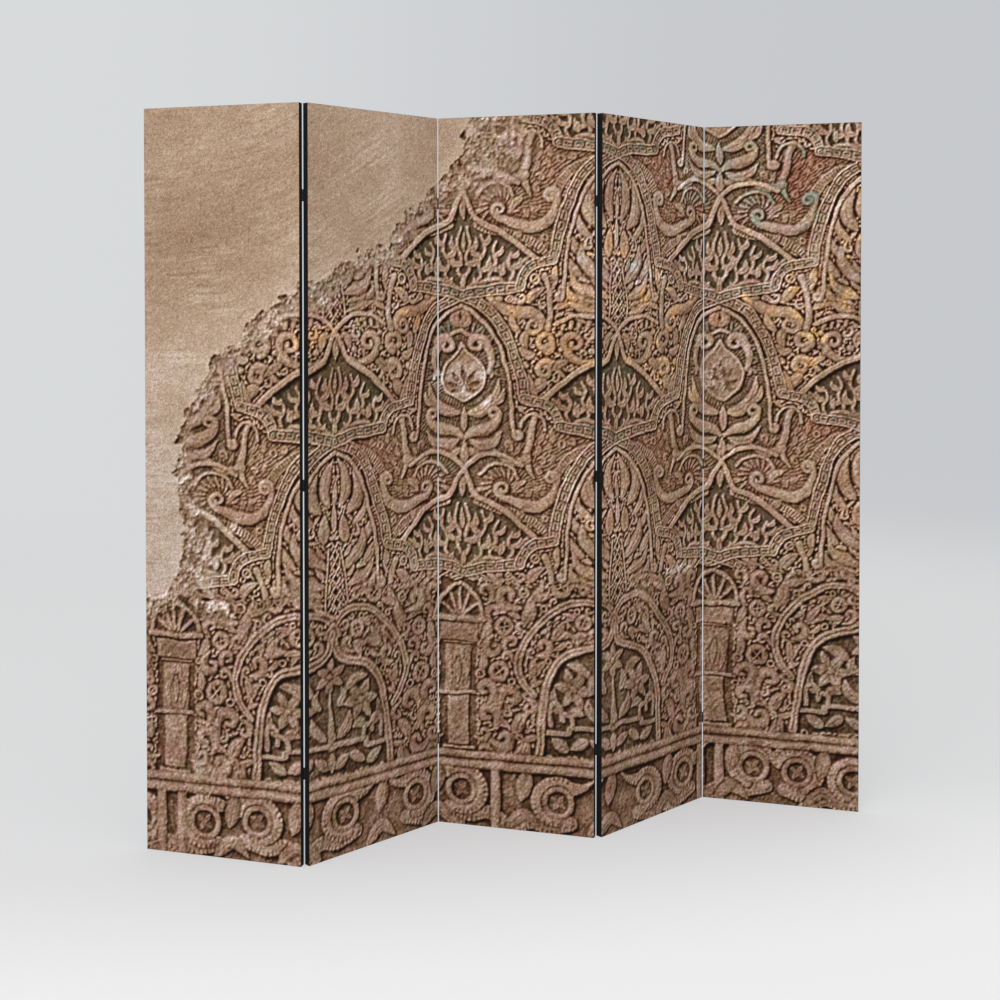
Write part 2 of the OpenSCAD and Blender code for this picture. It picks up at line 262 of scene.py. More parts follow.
class Carving:
    """A piece of carved wall: heights in millimetres, and how much of each paint is on it."""

    def __init__(self, width, height):
        self.cols, self.rows = int(round(width / CELL)), int(round(height / CELL))
        self.width, self.height = width, height
        self.x = (np.arange(self.cols) + 0.5) * CELL
        self.y = (np.arange(self.rows) + 0.5) * CELL
        self.h = np.zeros((self.rows, self.cols), np.float32)
        self.paint = {p: np.zeros((self.rows, self.cols), np.float32) for p in PAINTS}
        self.mirrored, self.wrapped = False, False

    def copies(self, p, reach):
        """The curve and, on a repeating piece, its mirror images and neighbours that come onto it."""
        ways, over = [p], np.array([2 * self.width, 0])
        if self.mirrored:
            ways += [p * [-1, 1], over + p * [-1, 1], p - over, p + over]
        if self.wrapped:
            ways = [w + [0, k * self.height] for w in ways for k in (-2, -1, 0, 1, 2)]
        for w in ways:
            lo, hi = w.min(0) - reach, w.max(0) + reach
            if hi[0] > 0 and lo[0] < self.width and hi[1] > 0 and lo[1] < self.height:
                yield w

    def trace(self, p, half, reach):
        """For each cell near the curve: how far from the stroke's edge, how far along, and the half width."""
        lo, hi = p.min(0) - half.max() - reach, p.max(0) + half.max() + reach
        c0, r0 = (max(0, int(v / CELL)) for v in lo)
        c1, r1 = min(self.cols, int(hi[0] / CELL) + 2), min(self.rows, int(hi[1] / CELL) + 2)
        if c1 <= c0 or r1 <= r0:
            return None
        shape = (r1 - r0, c1 - c0)
        edge, along, width = (np.full(shape, start, np.float32) for start in (99.0, 0.0, 1.0))
        step = np.hypot(*(p[1:] - p[:-1]).T)
        run = np.concatenate([[0], np.cumsum(step)])
        for i in range(len(p) - 1):
            (ax, ay), (dx, dy), far = p[i], p[i + 1] - p[i], max(half[i], half[i + 1]) + reach
            i0, i1 = int((min(ax, ax + dx) - far) / CELL) - c0, int((max(ax, ax + dx) + far) / CELL) + 2 - c0
            j0, j1 = int((min(ay, ay + dy) - far) / CELL) - r0, int((max(ay, ay + dy) + far) / CELL) + 2 - r0
            i0, j0 = max(0, i0), max(0, j0)
            if i1 <= i0 or j1 <= j0:
                continue
            x = self.x[c0 + i0 : c0 + i1][None, : shape[1] - i0] - ax
            y = self.y[r0 + j0 : r0 + j1][: shape[0] - j0, None] - ay
            t = np.clip((x * dx + y * dy) / max(step[i] ** 2, 1e-9), 0, 1)
            w = half[i] + t * (half[i + 1] - half[i])
            e = np.hypot(x - t * dx, y - t * dy) - w
            part = (slice(j0, j1), slice(i0, i1))
            nearer = e < edge[part]
            np.copyto(edge[part], e, where=nearer, casting="unsafe")
            np.copyto(along[part], run[i] + t * step[i], where=nearer, casting="unsafe")
            np.copyto(width[part], w, where=nearer, casting="unsafe")
        return (slice(r0, r1), slice(c0, c1)), edge, along, width

    def stroke(self, points, half, level=6.0, crown=4.0, form="round", gap=3.0, step=3.0, **paint):
        """Lays a raised strip along a smooth curve. half is its half width, or several along it."""
        curve = through(points, step)
        run = np.concatenate([[0], np.cumsum(np.hypot(*(curve[1:] - curve[:-1]).T))])
        t = run / run[-1]
        if form in ("leaf", "cup"):
            widths = half * np.sin(np.pi * np.clip(t, 0.02, 0.985) ** 0.75) ** 0.75
        else:
            many = np.atleast_1d(np.array(half, float))
            widths = np.interp(t, np.linspace(0, 1, len(many)), many)
        for p in self.copies(curve, widths.max() + gap + 1):
            found = self.trace(p, widths, gap + 1.5)
            if found is None:
                continue
            part, edge, along, width = found
            inside = np.clip(0.5 - edge / CELL, 0, 1)
            off = edge + width
            u = np.clip(-edge / np.minimum(width, 99 if form in ("round", "leaf", "cup") else 3.0), 0, 1)
            rise = 0.6 * np.sqrt(np.clip(1 - (1 - u) ** 2, 0, 1)) + 0.4 * u
            top = level + crown * rise
            if form == "leaf":
                top -= 2.2 * np.exp(-((off / 1.6) ** 2)) * (width > 4)
            if form == "cup":
                top -= 2.6 * np.clip(1 - off / (0.55 * width + 0.1), 0, 1)
            if form == "band":
                link = (np.abs(off) < 6.4) & (along % 23 < 19)
                slit = (np.abs(off) < 2.2) & (np.abs(along % 23 - 9.5) < 6.4)
                trough = off < width - 4.6
                top = np.where(trough, level - 3.6 + 4.2 * link - 4.0 * slit, top)
                self.dab(part, "green", inside * trough * np.where(link & ~slit, 0.05, 0.5))
            if form == "ladder":
                trough = off < width - 2.6
                rung = along % 7.5 < 3.4
                top = np.where(trough, level - 1.5 + 3.0 * rung, top)
            if form == "fluted":
                top -= 2.6 * (along % 9.0 < 3.6) * (off > 0.35 * width)
            if form == "grooved":
                top -= 2.4 * (off < 1.8)
            h = self.h[part]
            moat = np.clip(1 - edge / gap, 0, 1) * (edge > 0)
            h -= 2.2 * moat
            h += inside * (top - h)
            for name in PAINTS:
                if name == "teal" and name in paint:
                    self.dab(part, name, inside * paint[name] * np.clip((edge + 7.5) / 3, 0, 1))
                elif name in paint:
                    self.dab(part, name, inside * paint[name])
                else:
                    self.fade(part, name, inside * (form != "band"))

    def dab(self, part, name, amount):
        p = self.paint[name][part]
        np.maximum(p, amount, out=p)

    def fade(self, part, name, amount):
        self.paint[name][part] *= 1 - amount

    def inside(self, outline):
        """1 in the cells inside a smooth closed outline, mirrored and wrapped as strokes are."""
        mask = np.zeros_like(self.h)
        for p in self.copies(through(list(outline) + [outline[0]], 8.0), 0):
            mask = np.maximum(mask, sides(self.x, self.y, p)[0])
        return mask


def flip(points):
    """The same points one arch over and half an arch down, as the lattice repeats."""
    return [(SPAN - x, y - RISE / 2) for x, y in points]


FLANK = [(207, -2), (212, -30), (219, -62), (232, -102), (247, -140), (264, -172), (285, -200), (314, -220),
         (350, -233.5), (380, -243), (410, -248), (440, -252), (478, -255.5)]
LOBE = [(128, 57), (131, 42), (138, 28), (150, 15), (166, 7), (186, 3), (207, -2)]
ARCH_STRAP = [(350, -212), (324, -199), (300, -178), (282, -154), (266, -124), (254, -90), (245, -55),
              (239, -20), (235, 20), (233, 58), (231, 76)]
FOOT = [(231, 72), (229, 84), (220, 86), (215, 78), (221, 73)]
LENS_STRAP = [(134, -169), (94, -189), (50, -189), (20, -174), (0, -155), (-14, -130), (-23, -106), (-34, -90),
              (-62, -78), (-95, -60), (-130, -33), (-158, -8), (-176, 10)]
LENS = [(0, -150), (20, -108), (34, -86), (95, -58), (150, -16), (150, 10), (134, 28), (126, 54), (60, 60), (0, 72),
        (-60, 60), (-126, 54), (-134, 28), (-150, 10), (-150, -16), (-95, -58), (-34, -86), (-20, -108)]
SPANDREL = [(20, 92), (60, 78), (130, 66), (176, 40), (214, 40), (232, 90), (262, 110), (350, 120), (350, 200),
            (300, 245), (230, 262), (190, 280), (160, 300), (142, 260), (130, 190), (100, 130)]
SHELL = [(350, -222), (290, -180), (262, -110), (244, -20), (236, 60), (214, 60), (232, 130), (300, 180), (350, 190),
         (400, 180), (468, 130), (486, 60), (456, -20), (438, -110), (410, -180)]


def lattice():
    """Half of one unit of the wall's lattice, from a column of leafy arches to a column of shell arches."""
    c = Carving(SPAN, RISE)
    c.mirrored = c.wrapped = True
    spandrel, shell = c.inside(SPANDREL), c.inside(SHELL)
    seeded = np.maximum(spandrel, shell)
    lens = np.maximum(c.inside(LENS), c.inside(flip(LENS)))
    c.h[:] = np.where(lens > 0.5, 0.9, np.where(seeded > 0.5, 1.4, 0))
    c.paint["red"][:] = 0.5 * spandrel * (1 - shell)
    c.paint["green"][:] = np.maximum(0.42 * shell, lens)
    spandrels(c)
    openwork(c)
    leafy_arch(c)
    shell_arch(c)
    for way in (list, flip):
        cartouche(c, way)
    frames(c)
    fill(c, (seeded + lens) < 0.5, 7, 3.6, 5.6, 4.0, 190, 24, ochre=1.0, lilac=0.5, red=0.2)
    fill(c, (seeded > 0.5) & (lens < 0.5), 8, 7.0, 4.6, 2.6, 14, 12, red=0.6, ochre=0.3)
    feathered(c, (c.h < 2.2) & (spandrel > 0.5) & (lens < 0.5), 260, 200, 7.6)
    feathered(c, (c.h < 2.2) & (shell > 0.5) & (lens < 0.5), SPAN, -62, 7.0)
    frames(c)
    c.h[:] = np.maximum(c.h, 1.7 * lens)
    return c


def feathered(c, region, x, y, pitch):
    """Rows of short cuts round a point, on the bare ground of a region."""
    dx, dy = c.x[None, :] - x, (c.y[:, None] - y + RISE / 2) % RISE - RISE / 2
    far, turn = np.hypot(dx, dy), np.arctan2(dy, dx)
    row = np.floor(far / 17)
    across = np.cos(turn * np.round(2 * math.pi * (17 * row + 9) / pitch) + far * 0.09 * (1 - 2 * (row % 2)))
    c.h += region * (2.6 + 1.4 * np.clip(across * 1.6, -1, 1) - 2.0 * (far % 17 < 2.4)).astype(np.float32)


def frames(c):
    """The straps and beaded bands round it all, which repeat by the half drop."""
    for way in (list, flip):
        c.stroke(way(ARCH_STRAP), 5.6, 7.5, 3.0, "flat")
        c.stroke(way(FOOT), [5.6, 7], 7.5, 3.5)
        c.stroke(way(LENS_STRAP), [6, 6, 6, 7, 8, 8, 8], 8.0, 2.8, "flat", ochre=0.15)
        c.stroke(way(FLANK), 13.5, 8.5, 2.6, "band", gap=3.0)
        c.stroke(way(LOBE), 12.5, 9.0, 2.6, "band", gap=3.0)


def leaves(c, *rows, level=5.2, crown=4.0, form="leaf", **more):
    """A row of strips, each given as its half width, or several, and its points."""
    for half, *points in rows:
        c.stroke(points, half, level, crown, form, **more)


def spandrels(c):
    """Beside the leafy arches: netted corners, ladder bands, and smooth horns that end in scrolls."""
    leaves(c, (11, (58, 98), (88, 110), (114, 130), (132, 154), (140, 172)),
           (10, (150, 312), (166, 290), (196, 268), (236, 254), (276, 246), (316, 232)),
           level=6.0, crown=2.5, form="ladder")
    for at in range(-200, 40, 20):
        a = math.radians(at)
        c.stroke([polar(262, 196, 27, a), polar(262, 196, 46, a + 0.2)], 4, 5.0, 3.0, gap=2, red=0.25)
    leaves(c, (5, (226, 172), (238, 152), (262, 142), (292, 148), (312, 168)),
           ([4, 6, 8, 12, 14], *scroll(147, 172, 16, 200, 1.25)[::-1], (134, 186), (140, 206), (156, 226), (178, 238)),
           ([10, 14, 13, 10, 7, 6, 4], (160, 230), (182, 238), (210, 236), (238, 226), (262, 220),
            *scroll(260, 200, 18, 80, -1.2)),
           ([9, 8, 8, 10, 8, 3], (184, 34), (192, 62), (197, 96), (206, 126), (200, 150), (188, 172)),
           ([12, 11, 9, 8, 7, 7], (204, 128), (226, 136), (252, 130), (282, 116), (318, 118), (350, 128)),
           (4.4, (162, 68), (164, 50), (172, 38), (186, 31), (202, 34), (212, 46), (216, 62)),
           level=7.2, crown=3.0, form="round", ochre=0.12, teal=0.9)
    leaves(c, (9, (206, 178), (224, 188), (236, 206)), (9, (214, 250), (226, 262), (226, 250)),
           (7, (300, 200), (318, 206), (334, 222)), level=6.0, crown=3.0)


def openwork(c):
    """Above the leafy cartouches: deep openwork of scrolls, leaves and balls."""
    leaves(c, (18, (54, -214), (82, -226), (110, -222), (142, -202)), (12, (196, -158), (208, -138), (202, -104)),
           ochre=0.6)
    leaves(c, ([8, 13, 15, 14, 11, 8, 7, 5], (290, -234), (262, -214), (236, -200), (206, -198), (182, -192),
               *scroll(188, -168, 22, 200, -1.15)),
           ([5, 9, 11, 11, 10, 9, 8, 6], (40, -94), (60, -86), (84, -90), (108, -102),
            *scroll(90, -128, 27, 60, -1.2, 0.2)),
           ([9, 9, 8], *scroll(160, -129, 22, 100, 1.1, 0.5)),
           ([5, 9, 10, 9, 8, 7], (114, -50), (130, -66), (140, -84), *scroll(162, -68, 22, 210, 1.15, 0.35)),
           level=5.8, form="round", ochre=0.75)
    leaves(c, ([9, 8, 8, 9, 9], (166, -277), (154, -244), (149, -210), (148, -182), (152, -160)),
           level=7.0, crown=3.0, form="round", lilac=0.3)
    leaves(c, (11, (220, -150), (234, -170), (242, -196)), (12, (20, -152), (34, -136), (38, -112)),
           (11, (110, -88), (128, -82), (146, -66)), (15, (164, -46), (178, -32), (196, -18)),
           (10, (184, -104), (202, -102), (220, -118)), (10, (180, -6), (192, -28), (200, -58)),
           (11, (46, -240), (66, -254), (92, -258)), (11, (100, -262), (120, -250), (134, -230)), ochre=0.3)
    for x, y, r in ((50, -210, 10), (264, -232, 9), (50, -112, 9), (204, -80, 10), (120, -150, 8), (122, -114, 7)):
        c.stroke([(x, y), (x + 1, y)], r, 5, 4, ochre=0.4)
    for k in range(4):
        c.stroke([(60 + 18 * k, -180 + 2 * k), (62 + 18 * k, -168 + 2 * k)], 6.4, 5, 3.4, ochre=0.3)


def leafy_arch(c):
    """Inside the arches over the leafy columns: a tall lily of split leaves that stands on a netted stem."""
    grow = lambda *rows, **more: leaves(c, *rows, level=4.6, crown=5.4, gap=5, **more)
    grow((18, (36, 236), (60, 210), (64, 176), (46, 138)), (15, (14, 222), (29, 186), (24, 146), (5, 112)),
         (8, (0, 216), (0, 192), (0, 160)), lilac=0.25, ochre=0.25)
    grow((11, (52, 262), (72, 246), (86, 226), (86, 196)), (12, (72, 294), (92, 278), (101, 252)), lilac=0.5, ochre=0.2)
    grow((16, (28, 298), (27, 270), (23, 238)), form="cup", ochre=0.5)
    leaves(c, (9, (0, 276), (0, 246), (0, 214)), level=8.0, crown=3.4, lilac=0.4)
    grow((17, (28, 354), (52, 332), (74, 306), (78, 270)), (13, (78, 346), (97, 328), (109, 298)), lilac=0.7)
    grow((14, (32, 390), (60, 382), (87, 366), (104, 334)), (11, (88, 400), (104, 386), (116, 364)), ochre=0.5)
    grow((12, (36, 426), (60, 426), (84, 412), (106, 404)), (9, (68, 448), (90, 434), (112, 426)), ochre=0.3, lilac=0.3)
    grow((7, (26, 330), (38, 318), (46, 300)), (7, (30, 370), (44, 362), (54, 350)),
         (7, (58, 358), (70, 352), (84, 352)), (6, (38, 408), (54, 402), (70, 398)))
    for k in range(7):
        for s in (-1, 1):
            y = 300 + 25 * k
            c.stroke([(-s * (8 + k), y), (s * (14 + k), y + 34)], 3.2, 6.2, 3.0, gap=3)
    leaves(c, (3.6, (17, 312), (24, 360), (30, 412), (30, 452)), level=6.0, crown=3.0, form="round")


def shell_arch(c):
    """Inside the arches over the shell columns: a hatched hood, a fan in an ogee frame, and horns."""
    strips = lambda *rows, **more: leaves(c, *((half, *flip(points)) for half, *points in rows), **more)
    for k in range(12):
        a = math.radians(-186 + 17.5 * k)
        strips((4.2, polar(0, 236, 62, a, 74), polar(0, 236, 86, a + 0.12, 104)),
               level=5.0, crown=2.4, form="round", green=0.8)
    strips((13, (0, 150), (-14, 128), (0, 100)), (13, (0, 150), (14, 128), (0, 100)), level=6.5, ochre=0.2, red=0.4)
    strips((5.5, (-68, 262), (-64, 214), (-42, 180), (0, 158)), level=6.6, crown=2.4, form="flat")
    strips(([7, 9, 11, 11, 9, 7, 5], (-60, 252), (-68, 228), (-62, 202), *scroll(-36, 190, 21, 170, 1.15, 0.3)),
           level=6.6, form="round", lilac=0.4)
    drop = [(0, 186), (-14, 208), (-40, 232), (-51, 262), (-41, 294), (-20, 312), (0, 322)]
    disc = c.inside(flip(drop + [(-x, y) for x, y in drop[5:0:-1]]))
    c.h += disc * (7.4 - c.h)
    c.paint["green"] *= 1 - disc
    c.stroke(flip(drop), 4.5, 8.0, 2.6)
    for far, a in ((56, 0), (50, 34), (42, 68), (32, 102)):
        p, q = math.sin(math.radians(a)), math.cos(math.radians(a))
        strips((7.2, *((-r * p, 292 - r * q) for r in (7, 0.5 * far, far))), level=7.2, crown=-5.0, form="cup",
               gap=0.6, red=0.3)
    strips((15, (-8, 352), (-44, 344), (-74, 312), (-84, 268)), (9, (-70, 330), (-90, 316), (-96, 290)),
           level=6.8, ochre=0.3)
    strips(([5, 11, 15, 13, 9, 7, 5], (0, 408), (-22, 392), (-50, 386), (-76, 372), (-88, 352),
            *scroll(-74, 350, 14, 180, 0.8, 0.4)), level=7.2, form="round", ochre=0.3, teal=0.8)
    strips((12, (-14, 410), (-40, 420), (-72, 410), (-94, 384)), (9, (-10, 428), (-30, 440), (-52, 436)),
           level=6.4, lilac=0.2)
    strips((10, (0, 392), (0, 362), (0, 334)), (11, (0, 462), (0, 436), (0, 408)), level=7.4, crown=3.2)


def cartouche(c, way):
    """Leafy stems that cross each other on the dark ground of a cartouche."""
    lay = lambda half, *points, form="round": c.stroke(way(points), half, 5.6, 3.0, form, gap=3)
    c.stroke(way([(0, -140), (0, -116), (0, -90)]), 9.5, 6.2, 3.2, "leaf", gap=3)
    for points in (((0, 44), (14, 20), (6, -8), (16, -38), (8, -74)),
                   ((22, 56), (42, 34), (36, 2), (50, -26), (42, -58)),
                   ((70, 54), (62, 28), (76, 4), (70, -22), (78, -40)),
                   ((104, 50), (112, 28), (102, 8), (110, -14))):
        lay([6.5, 5, 5.5, 5, 4], *points)
    lay([4, 6, 6.5, 5.5, 5.5, 4], (8, 60), (30, 56), (54, 44), (82, 42), (104, 52), (124, 38), (134, 14))
    for leaf in ((9, (4, 8), (26, 4), (28, -18)), (8, (12, -24), (28, -34), (28, -56)),
                 (9, (42, 20), (58, 14), (60, -10)), (8, (40, -10), (24, -20), (22, -34)),
                 (8, (46, -36), (60, -44), (62, -60)), (8, (68, 18), (88, 20), (94, 2)),
                 (7, (72, -12), (88, -16), (94, -30)), (8, (108, 16), (126, 12), (130, -6)),
                 (7, (108, -6), (122, -10), (128, -22)), (8, (50, 50), (34, 52), (24, 38)),
                 (8, (86, 34), (90, 22), (84, 8)), (7, (120, 48), (134, 36), (142, 20)),
                 (8, (0, 72), (0, 52), (0, 28)), (6, (0, -20), (0, -40), (0, -66)),
                 (6, (132, 6), (142, 0), (148, -10))):
        lay(*leaf, form="leaf")


def lower_zone():
    """Half a bay of the wall's foot: a pointed niche with flowers, and a small column under a fan."""
    c = Carving(SPAN, LOWER_H)
    c.mirrored = True
    jamb = [(12, 134), (45, 150), (93, 164), (133, 206), (148, 256), (156, 322), (158, 385)]
    niche = c.inside([(0, 96), *jamb, (0, 392), *((-x, y) for x, y in reversed(jamb))])
    c.h[:] = np.where(niche > 0.5, 0.6, 0)
    c.paint["green"][:] = 0.8 * niche
    arch = [(0, 92), (12, 130), (30, 146), (62, 156), (96, 168), (124, 194), (142, 232), (152, 272), (158, 322),
            (162, 394)]
    strap = [(0, 76), (26, 54), (62, 46), (100, 52), (138, 76), (170, 108), (198, 150), (208, 196), (196, 236),
             (174, 266)]
    flower(c, 0, 182, 36)
    flower(c, 82, 244, 42, 0.45)
    more = dict(level=5.6, crown=3.6)
    c.stroke([(0, 212), (0, 270), (0, 334)], [2, 7, 14], **more)
    leaves(c, (14, (18, 318), (44, 290), (50, 262)), (12, (120, 300), (132, 276), (128, 246)),
           (13, (44, 214), (70, 196), (100, 192)), (12, (24, 250), (38, 226), (30, 206)),
           (12, (92, 300), (76, 292), (58, 300)), level=5.0, crown=3.4)
    for points in ([(112, 316), (112, 292), (124, 280), (138, 290), (138, 330)],
                   [(150, 346), (98, 346), (92, 332), (20, 332), (0, 338)], [(88, 330), (90, 306), (104, 300)]):
        c.stroke(points, 7, form="flat", step=2, **more)
    for x, y, side in ((28, 368, 1), (72, 368, -1), (116, 370, 1)):
        c.stroke([(x - 18, y + 12 * side), (x, y), (x + 20, y - 12 * side)], 13, form="leaf", **more)
    c.stroke([(0, 350), (0, 392)], 12, form="leaf", **more)
    # The column: fan, block, capital and shaft.
    for k in range(7):
        a = math.radians(184 + 172 * k / 6)
        c.stroke([polar(350, 98, 10, a, 8), polar(350, 98, 50, a, 62)], 5, 5, 4.0, gap=1.5)
    leaves(c, (6, (292, 98), (302, 58), (324, 36), (350, 24)), (7, (290, 100), (350, 100)), level=7, form="flat")
    for x0, top, bottom, level in ((302, 110, 150, 7.0), (312, 152, 156, 6.0), (318, 160, 262, 5.8),
                                   (304, 264, 274, 7.4), (322, 276, 384, 6.8), (310, 386, 398, 7.6)):
        inside = (c.x > x0)[None, :] & ((c.y > top) & (c.y < bottom))[:, None]
        bulge = 1.5 * np.sqrt(np.clip((c.x[None, :] - x0) / 8, 0, 1))
        c.h = np.where(inside, level + bulge, c.h).astype(np.float32)
    leaves(c, (6, (332, 256), (328, 214), (340, 192), (332, 170)), (7, (350, 190), (350, 214), (350, 250)),
           (6, (350, 186), (342, 174), (350, 162)), level=6.6, crown=3)
    # Stems that wind up between the column and the niche, and what fills the gaps.
    def lines():
        c.stroke(strap, 9, 6.6, 3.2, "grooved")
        c.stroke([(0, 76), (-14, 94)], 9, 6.6, 3.2, step=2)
        c.stroke(arch, 10, 7.0, 3.4, "grooved")
    c.paint["green"] = np.maximum(c.paint["green"], 0.35 * niche).astype(np.float32)
    lines()
    fill(c, (niche < 0.5) & (c.x[None, :] < 306), 12, 5.0, 5.2, 4.6, 120, 30)
    lines()
    c.h[:] = np.maximum(c.h, np.where(niche > 0.5, 0.8, 1.9))
    return c


def flower(c, x, y, r, turn=0.0):
    """Six petals round a button."""
    for k in range(6):
        a = math.radians(60 * k - 90) + turn
        c.stroke([polar(x, y, r * far, a) for far in (0.12, 0.6, 1.12)], r * 0.3, 5.0, 4.0, "leaf")
    c.stroke([(x, y), (x + 1, y)], r * 0.2, 7, 3)


def foot_band(c):
    """The lowest band, drawn straight on the wall: rings round four petals, fluted leaves, bars and buds."""
    rng = np.random.default_rng(9)
    for x, side in ((-10, 1), (140, -1), (262, 1), (456, -1), (655, 1), (775, 1), (1000, -1), (1232, 1), (1370, -1),
                    (1560, -1), (1662, 1), (1790, -1)):
        y, r, wide = 1524 + rng.uniform(-9, 9), rng.uniform(27, 32), rng.uniform(13, 18)
        turns = np.linspace(-2.3, 1.5, 12) + rng.uniform(-0.4, 0.4)
        at = lambda across, down: (x + side * across, y + down)
        c.stroke([at(-30, 44), at(20, 56), at(66, 48), at(112, 74)], 17, 5.0, 3.8, "fluted", gap=2)
        c.stroke([at(-84, -58), at(-60, -40), *(polar(x, y, side * (r + 16), a, r + 12) for a in turns)],
                 [3, 9, *[wide] * 6, 0.8 * wide], 6.2, 4.6, "fluted")
        c.stroke([polar(x, y, r, a) for a in np.linspace(0, 6.283, 15)], 7.5, 5.6, 3.2, gap=2)
        for a in (0.6, 2.17, 3.74, 5.31):
            c.stroke([polar(x, y, far, a) for far in (0, 10, 21)], 6.5, 1.8, 3.2, "leaf", gap=1)
    for x in (36, 86, 855, 1432, 1478):
        c.stroke([(x, 1462), (x + 1, 1610)], [11, 13, 11], 6.6, 3.6, step=20)
    for x in (204, 352, 556, 716, 922, 1110, 1310, 1510, 1720):
        c.stroke([(x + 6, 1470), (x, 1500), (x - 8, 1536)], 19, 4.6, 4.4, "leaf")
        c.stroke([(x - 40, 1596), (x, 1566), (x + 40, 1596)], 16, 4.2, 4.0, "leaf")


def room_in(free):
    """How far each free cell is from the nearest that isn't, in millimetres."""
    room = np.zeros(free.shape, np.float32)
    left = free.copy()
    for k in range(28):
        if not left.any():
            break
        room += left * CELL
        n = left.copy()
        for axis in (0, 1):
            n &= np.roll(left, 1, axis) & np.roll(left, -1, axis)
        if k % 2:
            for turn in (1, -1):
                n &= np.roll(np.roll(left, 1, 0), turn, 1) & np.roll(np.roll(left, -1, 0), turn, 1)
        left = n
    return room


def fill(c, region, seed, least, level, crown, most, cap=20.0, **paint):
    """Fills what is still bare with curled leaves, rings, split leaves and balls, the widest gaps first."""
    rng = np.random.default_rng(seed)
    region = np.asarray(region, bool)
    x, y = np.meshgrid(c.x, c.y)
    for size in (1.0, 0.6):
        room = room_in(region & (c.h < 1.6))
        for _ in range(most):
            j, i = divmod(int(room.argmax()), c.cols)
            r = min(room[j, i], cap * size * rng.uniform(0.7, 1.0))
            if r < least:
                break
            at, reach = (x[j, i], y[j, i]), int(2.2 * r / CELL) + 1
            window = (slice(max(0, j - reach), j + reach), slice(max(0, i - reach), i + reach))
            near = room[window] > 0.35 * r
            u, v = x[window][near] - at[0], y[window][near] - at[1]
            along = 0.5 * math.atan2(2 * (u * v).mean(), (u * u).mean() - (v * v).mean())
            angle = along + rng.choice([0.0, math.pi])
            on_axis = c.mirrored and min(at[0], c.width - at[0]) < 0.7 * r
            if on_axis:
                at, angle = (0.0 if at[0] < c.width / 2 else c.width, at[1]), -math.pi / 2
            tint = {k: v * rng.random() ** 1.5 for k, v in paint.items()}
            hand, kind = rng.choice([-1, 1]), 1 if on_axis else rng.integers(0, 5)
            ornament(c, at, r, angle, hand, kind, level, crown, tint)
            for a, b in ((at[0], at[1]), (-at[0], at[1]), (2 * c.width - at[0], at[1])):
                room = np.minimum(room, np.hypot(x - a, y - b) - 0.92 * r)


def ornament(c, at, r, angle, hand, kind, level, crown, tint):
    """One filling piece in a circle: a curled leaf, a leaf, a ring or a split leaf."""
    p, q = math.cos(angle) * r, math.sin(angle) * r
    put = lambda *points: [(at[0] + a * p - hand * b * q, at[1] + a * q + hand * b * p) for a, b in points]
    lay = lambda half, points, form="round": c.stroke(points, half, level, crown, form, gap=1.5, step=2, **tint)
    if r < 4.6:
        lay(0.72 * r, put((-0.3, 0), (0.3, 0)))
    elif kind == 1 or r < 7:
        lay(0.62 * r, put((-1.15, -0.1), (0, 0.12), (1.2, -0.15)), "leaf")
    elif kind == 2 and r > 9:
        lay(0.3 * r, put(*(polar(0, 0, 0.66, a) for a in np.linspace(0, 2 * math.pi, 13))))
        if r > 15:
            lay(0.1 * r, put((-0.5, -0.3), (0.5, 0.3)))
            lay(0.1 * r, put((-0.4, 0.4), (0.4, -0.4)))
    elif kind == 3:
        lay(0.46 * r, put((-1.1, 0), (-0.1, 0.3), (0.75, 0.95)), "leaf")
        lay(0.46 * r, put((-1.1, 0), (0.1, -0.3), (0.95, -0.55)), "leaf")
    else:
        widths = [0.15 * r, 0.36 * r, 0.48 * r, 0.48 * r, 0.4 * r, 0.32 * r, 0.24 * r]
        lay(widths, put((-1.2, 0.35), (-0.75, -0.3), (-0.1, -0.62), (0.5, -0.3), (0.55, 0.3), (0.1, 0.55),
                        (-0.2, 0.2)))


def wall():
    """The whole picture, 1800 by 1600 mm: the height of every cell and its paints."""
    w = Carving(*PICTURE)
    x, y = np.meshgrid(w.x, w.y)
    shape = w.h.shape
    bend_x, bend_y = (2.6 * mottle(shape, 110, 3 + k) + 0.9 * mottle(shape, 22, 8 + k) for k in (0, 1))
    lat, low = lattice(), lower_zone()

    def look_up(c, u, v):
        i = np.clip((u / CELL).astype(int), 0, c.cols - 1)
        j = np.clip((v / CELL).astype(int), 0, c.rows - 1)
        return c.h[j, i], {p: c.paint[p][j, i] for p in PAINTS}

    u = np.abs((x + bend_x - AXIS + SPAN) % (2 * SPAN) - SPAN)
    h, paint = look_up(lat, u, (y + bend_y - AXIS_Y) % RISE)
    u2 = np.abs((x + bend_x - LOWER_AXIS + SPAN) % (2 * SPAN) - SPAN)
    h_low, paint_low = look_up(low, u2, y + bend_y - LOWER_TOP)
    is_low = y > 1044 + 50 * np.clip(1 - u2 / 62, 0, 1) + 4 * mottle(shape, 14, 5)
    h = np.where(is_low, h_low - 0.5, h)
    paint = {p: np.where(is_low, paint_low[p], paint[p]) for p in PAINTS}

    band = y > BAND_TOP
    w.h = np.where(band, 0.6, h).astype(np.float32)
    w.paint = {p: (paint[p] * ~band).astype(np.float32) for p in PAINTS}
    foot_band(w)
    tilt = y + 1.5 * np.sin(x / 170.0) + 0.8 * mottle(shape, 60, 6)
    roll = np.maximum(*(tall * np.sqrt(np.clip(1 - ((tilt - at) / half) ** 2, 0, 1))
                        for at, half, tall in ((1437, 10, 1), (1459, 11, 1.1))))
    w.h = np.where((tilt > 1427) & (tilt < 1470), 4 + 7 * roll, w.h).astype(np.float32)
    return w, x, y, is_low | band


